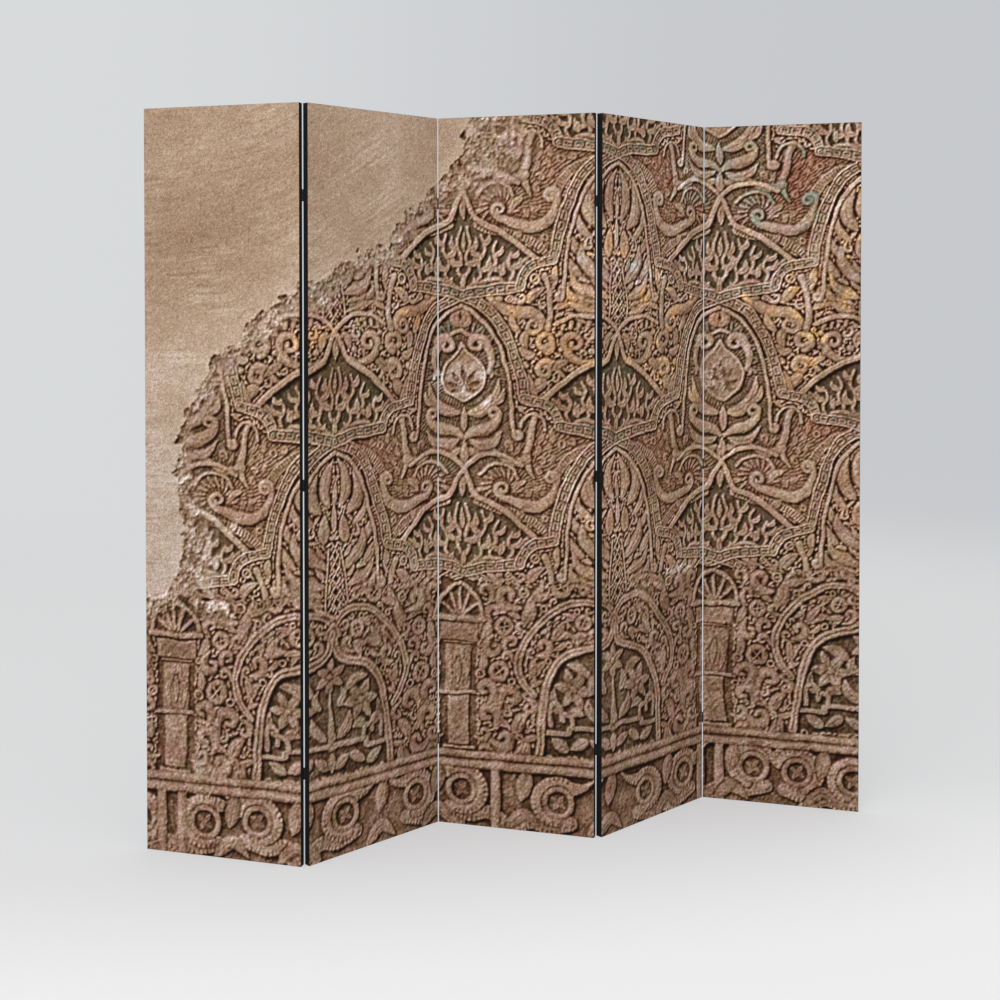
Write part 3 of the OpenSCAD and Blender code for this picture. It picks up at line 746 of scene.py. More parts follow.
PLASTER = [(-60, 1048), (20, 1046), (80, 1004), (96, 940), (92, 880), (72, 780), (92, 670), (148, 560), (245, 462),
           (350, 392), (470, 332), (560, 284), (640, 216), (722, 142), (790, 44), (806, -60), (-60, -60)]
# Places on the wall: the middle, the half width and the half height of each, and for a break how deep it goes.
BREAKS = ((830, 60, 150, 160, 1.0), (1470, 590, 62, 92, 0.9), (112, 940, 122, 104, 0.72), (150, 1070, 70, 40, 0.7),
          (350, 1020, 60, 30, 0.5), (820, 710, 120, 110, 0.3))
OCHRE_SPOTS = ((372, 488, 60, 26), (660, 440, 46, 40), (1010, 500, 70, 80))
TEAL_SPOTS = ((1395, 176, 40, 60), (1140, 150, 30, 60), (1560, 190, 30, 50), (1480, 84, 60, 64), (1180, 330, 24, 30))
LIME_SPOTS = ((1215, 352, 40, 30), (780, 588, 50, 56), (150, 1064, 46, 26), (716, 596, 18, 26), (84, 790, 16, 60),
              (140, 930, 76, 80), (1350, 1042, 60, 10), (1400, 110, 60, 30))
SLOT = (147, 1051, 17, 4.5)  # a slot broken through under the patch
PATCH_LEVEL, RUBBLE_LEVEL = 8.4, 7.4


def away(x, y, place):
    """How far each cell is from a place's middle, in its half widths and half heights."""
    at_x, at_y, wide, tall = place
    return np.hypot((x - at_x) / wide, (y - at_y) / tall)


def distance_inside(w, outline):
    """How far each cell is inside the outline; negative outside."""
    x, y = w.x[None, :], w.y[:, None]
    far = np.full(w.h.shape, 1e9, np.float32)
    odd, pairs = sides(w.x, w.y, np.array([*outline, outline[0]], float))
    for (ax, ay), (bx, by) in pairs:
        dx, dy = bx - ax, by - ay
        t = np.clip(((x - ax) * dx + (y - ay) * dy) / (dx * dx + dy * dy), 0, 1)
        far = np.minimum(far, np.hypot(x - ax - t * dx, y - ay - t * dy))
    return np.where(odd, far, -far)


def weathered(w, x, y, lower):
    """The wall with its plaster patch, its breaks and its wear: heights, and the fields that colour them."""
    shape = w.h.shape
    n4, n9, n20, n60, n200 = (mottle(shape, size, 20 + k) for k, size in enumerate((3, 8, 20, 60, 200)))
    inside = distance_inside(w, PLASTER) + 5 * n20 + 2.5 * n9 + 1.2 * n4
    plaster = ease(inside / 8 + 0.5)
    carved = 1 - plaster
    # Where the carving is worn soft, and where it has come off down to rubble.
    near = np.clip(1 + inside / 78, 0, 1) * (plaster < 0.5)
    broken = 0.0
    for *place, deep in BREAKS:
        broken = np.maximum(broken, deep * np.clip(1 - away(x, y, place), 0, 1))
    worn = np.clip(1.15 * near**1.3 + 1.3 * broken + 0.11 * lower + 0.10 * n60, 0, 1)
    cracks = np.exp(-((mottle(shape, 26, 31) / 0.11) ** 2))
    rubble = RUBBLE_LEVEL + 0.6 * n60 + 0.8 * n20 + 0.55 * n9 + 0.4 * n4 - 1.8 * cracks
    h = w.h + ease(worn * 1.8) * (soften(w.h, 3.6) - w.h)
    h = h + ease((worn - 0.4) * 2.2) * (rubble - h)
    h += (0.22 + 0.25 * worn) * n9 + (0.42 + 0.15 * lower) * n4
    h += (0.7 * n20 + 0.5 * n60) * lower - 1.1 * (n9 > 2.2)
    # Trowel strokes in the patch: level at its left, and rising to the right further on.
    rise = np.cumsum(np.interp(w.x, (160, 430), (0.04, 0.62))).astype(int)
    rows = (np.arange(shape[0])[:, None] + rise) % shape[0]
    strokes = sum(mottle(shape, 2.5, seed, (1.0, far)) for seed, far in ((40, 12.0), (41, 30.0)))
    slant = strokes[rows, np.arange(shape[1])[None, :]] / 1.4
    slant = slant * ease(0.35 + 0.6 * n60) - 1.2 * (n4 > 2.6)
    h = h + plaster * (PATCH_LEVEL + 0.07 * slant + 0.06 * n4 + 0.06 * n20 - h)
    # Paint: what the weather has left of it, and the stains on bare grounds.
    for p in PAINTS:
        w.paint[p] = w.paint[p] * carved * (1 - ease(worn * 1.6))

    def at_least(name, amount):
        w.paint[name] = np.maximum(w.paint[name], amount)

    upper = ease((1080 - y) / 260)
    rich = ease((x + 0.5 * (900 - y) - 560) / 900 + 0.12 * n200)
    bright = ease((x - 1180) / 420) * ease((760 - y) / 260)
    gaps = ease((2.6 - w.h) / 1.4) * (w.paint["green"] < 0.3) * carved
    at_least("red", gaps * (0.25 + 0.75 * bright))
    for p, amount in (("ochre", (0.85 * rich + 0.5 * bright) * ease(0.4 + 0.6 * n60 + 0.6 * n20)),
                      ("lilac", (0.3 + 0.5 * rich + 0.5 * bright) * ease(0.5 + 0.6 * n20)),
                      ("red", (0.35 + 0.5 * rich + 0.6 * bright) * ease(0.75 + 0.45 * n60)),
                      ("teal", (0.25 * rich + 1.1 * bright) * ease(0.6 + 0.5 * n60 + 0.4 * n20))):
        w.paint[p] = w.paint[p] * upper * amount
    w.paint["green"] = w.paint["green"] * (0.55 + 0.45 * upper * ease(0.9 + 0.4 * n60))
    for place in OCHRE_SPOTS:
        spot = ease(1.4 - 1.5 * away(x, y, place) + 0.4 * n20)
        at_least("ochre", 0.4 * spot * ease(w.h / 5 - 0.2))
        at_least("red", 0.45 * spot)
    for place in TEAL_SPOTS:
        at_least("teal", 0.6 * ease(1.4 - 1.5 * away(x, y, place) + 0.4 * n20) * ease(w.h / 5))
    for place in LIME_SPOTS:
        spot = ease(1.6 - 1.6 * away(x, y, place) + 0.45 * n20 + 0.25 * n9)
        at_least("chalk", 0.7 * spot * ease(0.3 + w.h / 7))
    at_least("chalk", plaster * ease((y - 420) / 420 + 0.1 * n60 + 0.05 * n20))
    at_least("chalk", 0.14 * bright * ease(w.h / 6 - 0.3) * ease(0.4 + 0.5 * n20))
    h -= 9 * ease(1.5 - 1.5 * away(x, y, SLOT)) * (plaster < 0.5)
    # Tone: broad and fine clouds, the patch's own darks and lights, grain, and dark specks.
    clouds = 0.022 * n200 + 0.022 * n60 * (1 - 0.5 * plaster) + 0.03 * n20 * (1 - 0.7 * plaster)
    patch = 0.03 * slant + 0.08 * ease((x - 120) / 460) + 0.1 * ease((y - 230) / 300) - 0.075
    grain = np.random.default_rng(60).standard_normal(shape).astype(np.float32)
    tone = 1 + clouds + plaster * patch + 0.03 * n4 * carved + 0.12 * grain - 0.4 * (grain > 2.9)
    dust = np.maximum(ease(near * 1.4), ease(broken * 1.5)) * carved
    return h, dict(plaster=plaster, worn=dust, tone=tone)


SUN = np.array([-0.50, -0.46, 0.73])  # the way to the light: right, down and out of the wall
SUN_DROP = 1.05  # how far its rays come down for each step along, where a shadow falls


def lit(h):
    """The light on each cell from the upper left, less what stands before it, and from the open sky."""
    s = soften(h, 1.0)
    gy, gx = np.gradient(0.95 * s, CELL)
    facing = np.clip((-gx * SUN[0] - gy * SUN[1] + SUN[2]) / np.sqrt(1 + gx * gx + gy * gy), 0, 1.4) / SUN[2]
    shadow = np.zeros_like(s)
    for k in range(1, 12):
        before = np.full_like(s, -99)
        before[k:, k:] = s[:-k, :-k]
        shadow = np.maximum(shadow, before - SUN_DROP * k * CELL - s)
    shadow = soften(np.clip(shadow / 3.0, 0, 1), 1.3)
    above = sum((s - soften(s, size)) / depth for size, depth in ((5, 20), (14, 24), (34, 60)))
    sky = np.clip(0.88 + above, 0.24, 1.1)
    light = 1.07 * sky * (0.34 + 0.66 * facing * (1 - 0.7 * shadow))
    return np.where(light > 0.88, 0.88 + 0.65 * (light - 0.88), light) - 0.055


def draw_picture():
    """The picture as fields of numbers: the light on each place, where its zones lie, and its paints."""
    w, x, y, lower = wall()
    h, fields = weathered(w, x, y, lower.astype(np.float32))
    light = lit(h)
    light += 0.8 * (light - soften(light, 2.5))
    light = np.clip(light * fields.pop("tone"), 0.02, 2.0) ** 2.2
    return {**w.paint, **fields, "light": light, "foot": np.clip((y - 1000) / 80, 0, 1)}


def look_up_smooth(field, across, down):
    """The field's mean over a mesh pitch round each place, given as shares of its width and height."""
    rows, cols = field.shape
    i = np.clip((across * cols).round().astype(int), 1, cols - 1)
    j = np.clip((down * rows).round().astype(int), 1, rows - 1)
    return (field[j, i] + field[j - 1, i] + field[j, i - 1] + field[j - 1, i - 1]) / 4


# ---- Materials --------------------------------------------------------------------------------


class Number:
    """A socket that holds a number. Each sign between two of them adds its Math node."""

    def __init__(self, nodes, socket):
        self.nodes, self.socket = nodes, socket

    def math(self, operation, *values):
        return self.nodes.math(operation, self, *values)

    def __add__(self, other):
        return self.math("ADD", other)

    def __sub__(self, other):
        return self.math("SUBTRACT", other)

    def __mul__(self, other):
        return self.math("MULTIPLY", other)

    def __pow__(self, other):
        return self.math("POWER", other)

    def __rsub__(self, other):
        return self.nodes.math("SUBTRACT", other, self)

    __radd__, __rmul__ = __add__, __mul__


class Nodes:
    """The nodes of one material or world."""

    def __init__(self, owner):
        owner.use_nodes = True
        self.owner, self.tree = owner, owner.node_tree
        self.tree.nodes.clear()

    def node(self, kind, settings=None, values=None):
        """One node: its settings first, then the values or links of its sockets, by name or number."""
        node = self.tree.nodes.new(kind)
        for key, value in (settings or {}).items():
            setattr(node, key, value)
        for key, value in (values or {}).items():
            socket, value = node.inputs[key], value.socket if isinstance(value, Number) else value
            if isinstance(value, bpy.types.NodeSocket):
                self.tree.links.new(value, socket)
            else:
                socket.default_value = (*value, 1) if socket.type == "RGBA" else value
        return node

    def number(self, node, output):
        return Number(self, node.outputs[output])

    def math(self, operation, *values, clamp=False):
        settings = {"operation": operation, "use_clamp": clamp}
        return self.number(self.node("ShaderNodeMath", settings, dict(enumerate(values))), 0)

    def held(self, value):
        """value kept between 0 and 1."""
        return self.math("ADD", value, 0.0, clamp=True)

    def step(self, value, low, high):
        """0 below low, 1 above high, and smooth between."""
        settings = {"interpolation_type": "SMOOTHSTEP"}
        return self.number(self.node("ShaderNodeMapRange", settings, {0: value, 1: low, 2: high}), 0)

    def attribute(self, name, output="Fac"):
        return self.node("ShaderNodeAttribute", {"attribute_name": name}).outputs[output]

    def noise(self, place, size, detail=2.0, roughness=0.5):
        """Smooth noise whose patches are about size metres across, from 0 to 1."""
        values = {"Vector": place, "Scale": 1 / size, "Detail": detail, "Roughness": roughness}
        return self.number(self.node("ShaderNodeTexNoise", None, values), "Fac")

    def blend(self, share, under, over, kind="MIX"):
        """The colour under with share of the colour over on it."""
        settings = {"data_type": "RGBA", "blend_type": kind}
        return self.node("ShaderNodeMix", settings, {0: share, 6: under, 7: over}).outputs[2]

    def scaled(self, colour, factor):
        return self.node("ShaderNodeVectorMath", {"operation": "SCALE"}, {0: colour, 3: factor}).outputs[0]

    def placed(self, turn=0.0, stretch=(1, 1, 1)):
        """The piece's own coordinates, turned about the upright axis and stretched."""
        own = self.node("ShaderNodeTexCoord").outputs["Object"]
        turned = self.node("ShaderNodeMapping", None, {"Vector": own, "Rotation": (0, 0, turn)}).outputs[0]
        return self.node("ShaderNodeMapping", None, {"Vector": turned, "Scale": stretch}).outputs[0]

    def axes(self, place):
        apart = self.node("ShaderNodeSeparateXYZ", None, {0: place})
        return tuple(self.number(apart, k) for k in range(3))

    def bump(self, height, distance):
        return self.node("ShaderNodeBump", None, {"Height": height, "Distance": distance}).outputs[0]

    def finish(self, **sockets):
        """Ends in a Principled shader with these sockets, and gives the material."""
        names = {"colour": "Base Color", "roughness": "Roughness", "metallic": "Metallic", "normal": "Normal",
                 "sheen": "Sheen Weight", "sheen_roughness": "Sheen Roughness", "gloss": "Specular IOR Level"}
        shader = self.node("ShaderNodeBsdfPrincipled", None, {names[k]: v for k, v in sockets.items()})
        self.tree.links.new(shader.outputs[0], self.node("ShaderNodeOutputMaterial").inputs[0])
        return self.owner


def print_material(colours, sizes):
    """Printed canvas. The picture comes from the mesh's attributes; grain, weave and gloss are added here."""
    n = Nodes(bpy.data.materials.new("printed_canvas"))
    place = n.attribute("place", "Vector")
    x, y, z = n.axes(place)
    fine, sand = n.noise(place, 0.0022, 2.0, 0.6), n.noise(place, 0.0055, 3.0, 0.6)
    patch, cloud = n.noise(place, 0.035, 3.0, 0.55), n.noise(place, 0.21, 2.0, 0.5)
    paint = {name: Number(n, n.attribute(name)) for name in PAINTS}
    zones = ("light", "plaster", "worn", "foot", "edge")
    light, plaster, worn, foot, edge = (Number(n, n.attribute(name)) for name in zones)
    scuff = n.step(patch, 0.38, 0.62)
    tone = n.blend(foot, colours.stone, colours.foot)
    tone = n.blend(paint["red"] * 0.75, tone, colours.red)
    tone = n.blend(paint["green"] * (0.66 + 0.26 * scuff), tone, colours.green)
    tone = n.blend(n.held(paint["ochre"] * (0.25 + 1.1 * scuff)), tone, colours.ochre)
    tone = n.blend(n.held(paint["lilac"] * (1.2 - 0.9 * scuff)), tone, colours.lilac)
    tone = n.blend(paint["teal"] * (0.55 + 0.4 * scuff), tone, colours.teal)
    tone = n.blend(worn * 0.75, tone, colours.dust)
    tone = n.blend(plaster, tone, colours.plaster)
    tone = n.blend(paint["chalk"] * (0.7 + 0.3 * scuff), tone, colours.chalk)
    for size, share in ((0.04, 0.22), (0.008, 0.12)):
        tint = n.node("ShaderNodeTexNoise", None, {"Vector": place, "Scale": 1 / size}).outputs["Color"]
        tone = n.blend(share * (1.0 - 0.75 * plaster), tone, tint, "SOFT_LIGHT")
    broad = ((patch - 0.5) * 0.28 + (cloud - 0.5) * 0.22) * (1.0 - 0.85 * plaster)
    pits = 0.3 * n.step(sand, 0.54, 0.66)
    strength = light * (1.02 + (fine - 0.5) * 0.9 + (sand - 0.5) * 0.5 + broad) * (1.0 - pits)
    # The darks are warm: green and blue fall away faster than red.
    warm = n.node("ShaderNodeCombineXYZ", None, {0: strength, 1: strength ** 1.26, 2: strength ** 1.62})
    shown = n.blend(1.0, tone, warm.outputs[0], "MULTIPLY")
    shown = n.blend(edge, shown, n.scaled(colours.edge, 0.75 + 0.5 * sand))
    pitch = math.pi / sizes.weave
    warp, weft = (n.math("ABSOLUTE", n.math("SINE", v * pitch)) for v in (x + y, z))
    cells = n.math("FLOOR", (x + y) * (1 / sizes.weave)) + n.math("FLOOR", z * (1 / sizes.weave))
    over = n.math("COSINE", cells * math.pi)
    thread = 0.5 * (warp + weft) + 0.5 * over * (warp - weft)
    slub = n.noise(place, 0.012)
    return n.finish(colour=shown, roughness=0.58 + 0.16 * fine + 0.1 * slub,
                    normal=n.bump(thread + 0.7 * slub, 0.00009), gloss=0.12)


# ---- Modelling --------------------------------------------------------------------------------


def clear_selection():
    if bpy.context.object and bpy.context.object.mode != "OBJECT":
        bpy.ops.object.mode_set(mode="OBJECT")
    bpy.ops.object.select_all(action="DESELECT")


def pick_faces(piece, wanted):
    """Selects the faces whose middle and normal wanted() accepts."""
    bpy.ops.mesh.select_mode(type="FACE")
    bpy.ops.mesh.select_all(action="DESELECT")
    mesh = bmesh.from_edit_mesh(piece.data)
    for face in mesh.faces:
        if wanted(face.calc_center_median(), face.normal):
            face.select = True
    mesh.select_flush_mode()
    bmesh.update_edit_mesh(piece.data)


def pick_rim():
    """Selects the open edges of the piece that is being edited."""
    bpy.ops.mesh.select_mode(type="EDGE")
    bpy.ops.mesh.select_all(action="DESELECT")
    bpy.ops.mesh.select_non_manifold(extend=False, use_wire=False, use_boundary=True, use_multi_face=False,
                                     use_non_contiguous=False, use_verts=False)


class Rim:
    """The open rim of a flat piece, drawn out ring by ring. Sizes are halves, from the leaf's middle."""

    def __init__(self, half_width, half_height, depth, middle):
        self.size, self.depth, self.middle = (half_width, half_height), depth, middle

    def draw_out(self, inward, depth, outer):
        """Adds a ring that lies inward of the outer size, at this depth."""
        size = (outer[0] - inward, outer[1] - inward)
        bpy.ops.mesh.extrude_region_move(TRANSFORM_OT_translate={"value": (0, depth - self.depth, 0)})
        bpy.ops.transform.resize(value=(size[0] / self.size[0], 1, size[1] / self.size[1]),
                                 center_override=(0, depth, self.middle))
        self.size, self.depth = size, depth


def finish_piece(piece, name, material, smooth=40):
    """Names a piece, shades it and leaves it with the one material."""
    clear_selection()
    piece.select_set(True)
    bpy.context.view_layer.objects.active = piece
    bpy.ops.object.transform_apply(location=True, rotation=True, scale=True)
    bpy.ops.object.shade_smooth_by_angle(angle=math.radians(smooth))
    piece.name = piece.data.name = name
    piece.data.materials.clear()
    piece.data.materials.append(material)
    return piece


def copy_to_leaf(blank, name, leaf):
    """A copy of a blank with its own mesh, standing where that leaf stands."""
    piece = bpy.data.objects.new(name, blank.data.copy())
    bpy.context.scene.collection.objects.link(piece)
    piece.data.name = name
    piece.data.transform(leaf_frame(leaf))
    return piece


def give(piece, name, values):
    """Stores one number for each vertex under a name that a material can read."""
    layer = piece.data.attributes.new(name, "FLOAT", "POINT")
    layer.data.foreach_set("value", np.ascontiguousarray(values, np.float32))


def points_of(piece):
    points = np.empty(len(piece.data.vertices) * 3, np.float32)
    piece.data.vertices.foreach_get("co", points)
    return points.reshape(-1, 3)


def open_sheet(s, columns, rows, half, depth, back=False):
    """Opens for editing a new upright sheet of faces, of these half sizes, at this depth on the leaf's axes."""
    clear_selection()
    bpy.ops.mesh.primitive_grid_add(x_subdivisions=columns, y_subdivisions=rows, size=1,
                                    rotation=(-math.pi / 2 if back else math.pi / 2, 0, 0))
    bpy.ops.object.transform_apply(location=False, rotation=True, scale=False)
    bpy.ops.object.mode_set(mode="EDIT")
    bpy.ops.transform.resize(value=(2 * half[0], 1, 2 * half[1]))
    bpy.ops.transform.translate(value=(0, depth, s.leaf_height / 2))
    return bpy.context.object


def apply(piece, kind, **settings):
    """Adds a modifier with these settings to a piece and applies it."""
    modifier = piece.modifiers.new(kind.lower(), kind)
    for name, value in settings.items():
        setattr(modifier, name, value)
    bpy.ops.object.modifier_apply(modifier=modifier.name)


def canvas_blank(s):
    """One leaf's canvas on the leaf's own axes: its face, turned edges, sides, returns and inner side."""
    outer = (s.leaf_width / 2 + s.side_slack, s.leaf_height / 2)
    front, back, turn, fold = -s.leaf_thickness / 2, s.leaf_thickness / 2, s.front_turn, s.back_turn
    flat = (outer[0] - turn, outer[1] - turn)
    piece = open_sheet(s, s.columns, s.rows, flat, front)
    pick_rim()
    rim = Rim(*flat, front, outer[1])
    for angle in (30, 60, 90):
        a = math.radians(angle)
        rim.draw_out(turn * (1 - math.sin(a)), front + turn * (1 - math.cos(a)), outer)
    rim.draw_out(0, back - fold, outer)
    middle = (front + turn + back - fold) / 2
    for x, z in ((-1, 0), (1, 0), (0, -1), (0, 1)):  # each plain side becomes one face
        pick_faces(piece, lambda at, normal: abs(at.y - middle) < MM and normal.x * x + normal.z * z > 0.9)
        bpy.ops.mesh.dissolve_faces(use_verts=True)
    pick_rim()
    for angle in (45, 90):
        a = math.radians(angle)
        rim.draw_out(fold * (1 - math.cos(a)), back - fold * (1 - math.sin(a)), outer)
    rim.draw_out(s.turned_in, back, outer)
    rim.draw_out(s.turned_in, back - s.canvas_thickness, outer)
    rim.draw_out(s.canvas_thickness, back - s.canvas_thickness, outer)
    rim.draw_out(s.canvas_thickness, front + s.canvas_thickness, outer)
    bpy.ops.mesh.edge_face_add()
    bpy.ops.object.mode_set(mode="OBJECT")
    return piece


CLOTH_GRID = (58, 264)  # faces across and up a backing cloth


def cloth_blank(s):
    """One leaf's backing cloth on the leaf's own axes, sunk between the bars and puckered at its staples."""
    half = (s.leaf_width / 2 - s.cloth_inset, s.leaf_height / 2 - s.cloth_inset)
    piece = open_sheet(s, *CLOTH_GRID, half, s.leaf_thickness / 2 + s.cloth_thickness, back=True)
    bpy.ops.object.mode_set(mode="OBJECT")
    at = points_of(piece)
    x, z = at[:, 0], at[:, 2]
    inward = np.minimum(half[0] - np.abs(x), half[1] - np.abs(z - s.leaf_height / 2))
    bay = np.abs(((z + s.leaf_height / 6) % (s.leaf_height / 3)) - s.leaf_height / 6)
    window = ease((inward - 0.024) / 0.03)  # 0 on the outer bars, 1 over the open part
    over_rail = 1 - 0.6 * ease((0.035 - bay) / 0.02)
    pull = 0.5 + 0.5 * np.cos(2 * math.pi * (z - s.leaf_height / 2) / s.staple_pitch)
    ripple = 0.5 + 0.5 * np.sin(9 * z + 14 * x + 1.8 * np.sin(5 * z)) * np.sin(21 * x - 6 * z)
    at[:, 1] -= s.cloth_slack * window * over_rail * (0.72 + 0.28 * ripple)
    at[:, 1] -= 0.05 * MM * pull * ease((inward - 0.012) / 0.01) * ease((0.05 - inward) / 0.03)
    piece.data.vertices.foreach_set("co", at.ravel())
    apply(piece, "SOLIDIFY", thickness=s.cloth_thickness, offset=-1)
    return piece


def hem_blank(s):
    """The backing cloth's turned-under hem: a flat ring of cloth with a rounded outer fold."""
    half = (s.leaf_width / 2 - s.cloth_inset, s.leaf_height / 2 - s.cloth_inset)
    piece = open_sheet(s, 1, 1, half, s.leaf_thickness / 2 + 2 * s.cloth_thickness, back=True)
    bpy.ops.mesh.inset(thickness=s.hem, depth=0)
    bpy.ops.mesh.delete(type="FACE")
    bpy.ops.mesh.select_all(action="SELECT")
    bpy.ops.mesh.subdivide(number_cuts=1)
    bpy.ops.object.mode_set(mode="OBJECT")
    apply(piece, "SOLIDIFY", thickness=s.cloth_thickness, offset=-1)
    apply(piece, "BEVEL", width=0.4 * s.cloth_thickness, segments=2, limit_method="ANGLE")
    return piece


WIRE_DEPTH = 0.55  # a staple's flat wire is this share of its width deep


def staple_blank(s):
    """One staple's crown, lying across the leaf's own x axis, its bent ends sunk into the bar."""
    wire = s.staple_wire
    clear_selection()
    bpy.ops.mesh.primitive_cube_add(size=1)
    piece = bpy.context.object
    bpy.ops.object.mode_set(mode="EDIT")
    bpy.ops.transform.resize(value=(s.staple_width - 2 * wire, WIRE_DEPTH * wire, wire))
    for side in (-1, 1):
        pick_faces(piece, lambda at, normal: normal.x * side > 0.9)
        for out, down in ((0.55, 0.18), (0.35, 0.75)):
            way = (side * out * wire, -down * wire, 0)
            bpy.ops.mesh.extrude_region_move(TRANSFORM_OT_translate={"value": way})
    bpy.ops.object.mode_set(mode="OBJECT")
    apply(piece, "BEVEL", width=0.12 * wire, segments=1, limit_method="ANGLE", angle_limit=math.radians(50))
    return piece


def staple_places(s):
    """Where the staples stand on a leaf's back: (x, z, turn)."""
    sizes, middle = (s.leaf_width, s.leaf_height), s.leaf_height / 2
    side_x, rail_z = (size / 2 - s.cloth_inset - 0.4 * s.hem for size in sizes)
    along, up = (int((size - 80 * MM) / s.staple_pitch / 2) for size in sizes)
    rng = np.random.default_rng(5)
    lean = lambda: rng.uniform(-9, 9)
    for side in (-1, 1):
        for k in range(-up, up + 1):
            yield side * side_x, middle + k * s.staple_pitch, math.radians(90 + lean())
        for k in range(-along, along + 1):
            yield k * s.staple_pitch, middle + side * rail_z, math.radians(lean())


# ---- Finishes ---------------------------------------------------------------------------------


def cloth_material(base):
    """Black non-woven cloth with a fine dimpled face."""
    n = Nodes(bpy.data.materials.new("backing_cloth"))
    place = n.placed()
    fibre, dimple, wide = n.noise(place, 0.0009, 3.0, 0.7), n.noise(place, 0.003, 1.0), n.noise(place, 0.12)
    dust = n.step(n.noise(place, 0.045, 4.0, 0.7), 0.52, 0.78)
    base = n.scaled(base, 0.75 + 0.35 * fibre + 0.3 * wide)
    base = n.blend(dust * 0.05, base, shade(150, 146, 140))
    return n.finish(colour=base, roughness=0.86 + 0.08 * fibre, normal=n.bump(fibre + 1.5 * dimple, 0.00012),
                    sheen=0.25, sheen_roughness=0.5, gloss=0.2)


def timber_material(name, trim, turn=0.0, level=False):
    """Planed pine with its grain along the bar: upright, or level on a leaf turned by turn."""
    n = Nodes(bpy.data.materials.new(name))
    stretch = (3.0, 40.0, 40.0) if level else (40.0, 40.0, 3.0)
    place = n.placed(-turn, stretch)
    warp = n.noise(place, 4.0)
    x, y, z = n.axes(place)
    across = (z if level else x) + y * 0.7 + warp * 3.0
    rings = 0.5 + 0.5 * n.math("SINE", across * 5.5)
    fibre = n.noise(n.placed(-turn, (20, 900, 900) if level else (900, 900, 20)), 1.0)
    tone = n.blend(rings ** 2.5 * 0.75, trim.pine, trim.pine_grain)
    tone = n.scaled(tone, 0.88 + 0.24 * fibre)
    return n.finish(colour=tone, roughness=0.62 + 0.14 * fibre, normal=n.bump(fibre + 0.3 * rings, 0.0001),
                    gloss=0.35)


def plywood_material(trim):
    """Birch plywood whose plies show as bands through its thickness."""
    n = Nodes(bpy.data.materials.new("plywood"))
    place = n.placed()
    x, y, _ = n.axes(place)
    plies = n.step(n.math("SINE", (x * 0.5 + y) * (2 * math.pi / 0.0024)), -0.3, 0.3)
    fibre = n.noise(n.placed(0, (500, 500, 60)), 1.0)
    tone = n.scaled(n.blend(plies * 0.5, trim.plywood, trim.pine_grain), 0.86 + 0.28 * fibre)
    return n.finish(colour=tone, roughness=0.66 + 0.14 * fibre, normal=n.bump(fibre, 0.0001))


def lacquer_material(name, base, trim):
    """Black lacquer on steel, thin and rubbed where hands and screwdrivers touch it."""
    n = Nodes(bpy.data.materials.new(name))
    place = n.placed()
    peel, rub = n.noise(place, 0.0012), n.noise(place, 0.004, 4.0, 0.7)
    bare = n.step(rub, 0.66, 0.72)
    tone = n.blend(bare * 0.55, n.scaled(base, 0.8 + 0.4 * peel), trim.steel)
    return n.finish(colour=tone, roughness=0.38 + 0.14 * peel, metallic=bare * 0.6,
                    normal=n.bump(peel, 0.00005), gloss=0.5)


def steel_material(name, trim):
    """Bright drawn steel with fine lines along it and a little tarnish."""
    n = Nodes(bpy.data.materials.new(name))
    drawn, dull = n.noise(n.placed(0, (1500, 1500, 90)), 1.0), n.noise(n.placed(), 0.006, 3.0)
    tone = n.blend(n.step(dull, 0.5, 0.75) * 0.35, trim.steel, shade(112, 104, 96))
    return n.finish(colour=n.scaled(tone, 0.9 + 0.2 * drawn), metallic=0.9 + 0.1 * drawn, roughness=0.26 + 0.2 * dull,
                    normal=n.bump(drawn, 0.00003))


def repaint(node, material):
    """Gives a construction node this material in all its slots."""
    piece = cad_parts[node]
    if not piece.data.materials:
        piece.data.materials.append(material)
    for slot in piece.material_slots:
        slot.material = material


# ---- Operators --------------------------------------------------------------------------------


EYE, DOWN, RIGHT = (-0.7970, -3.0027, 1.1811), 1.0761, 14.1977  # the camera's place and its turns in degrees
LAMP, FLOOR_R = (-2.2, -3.6, 3.2), 7.0


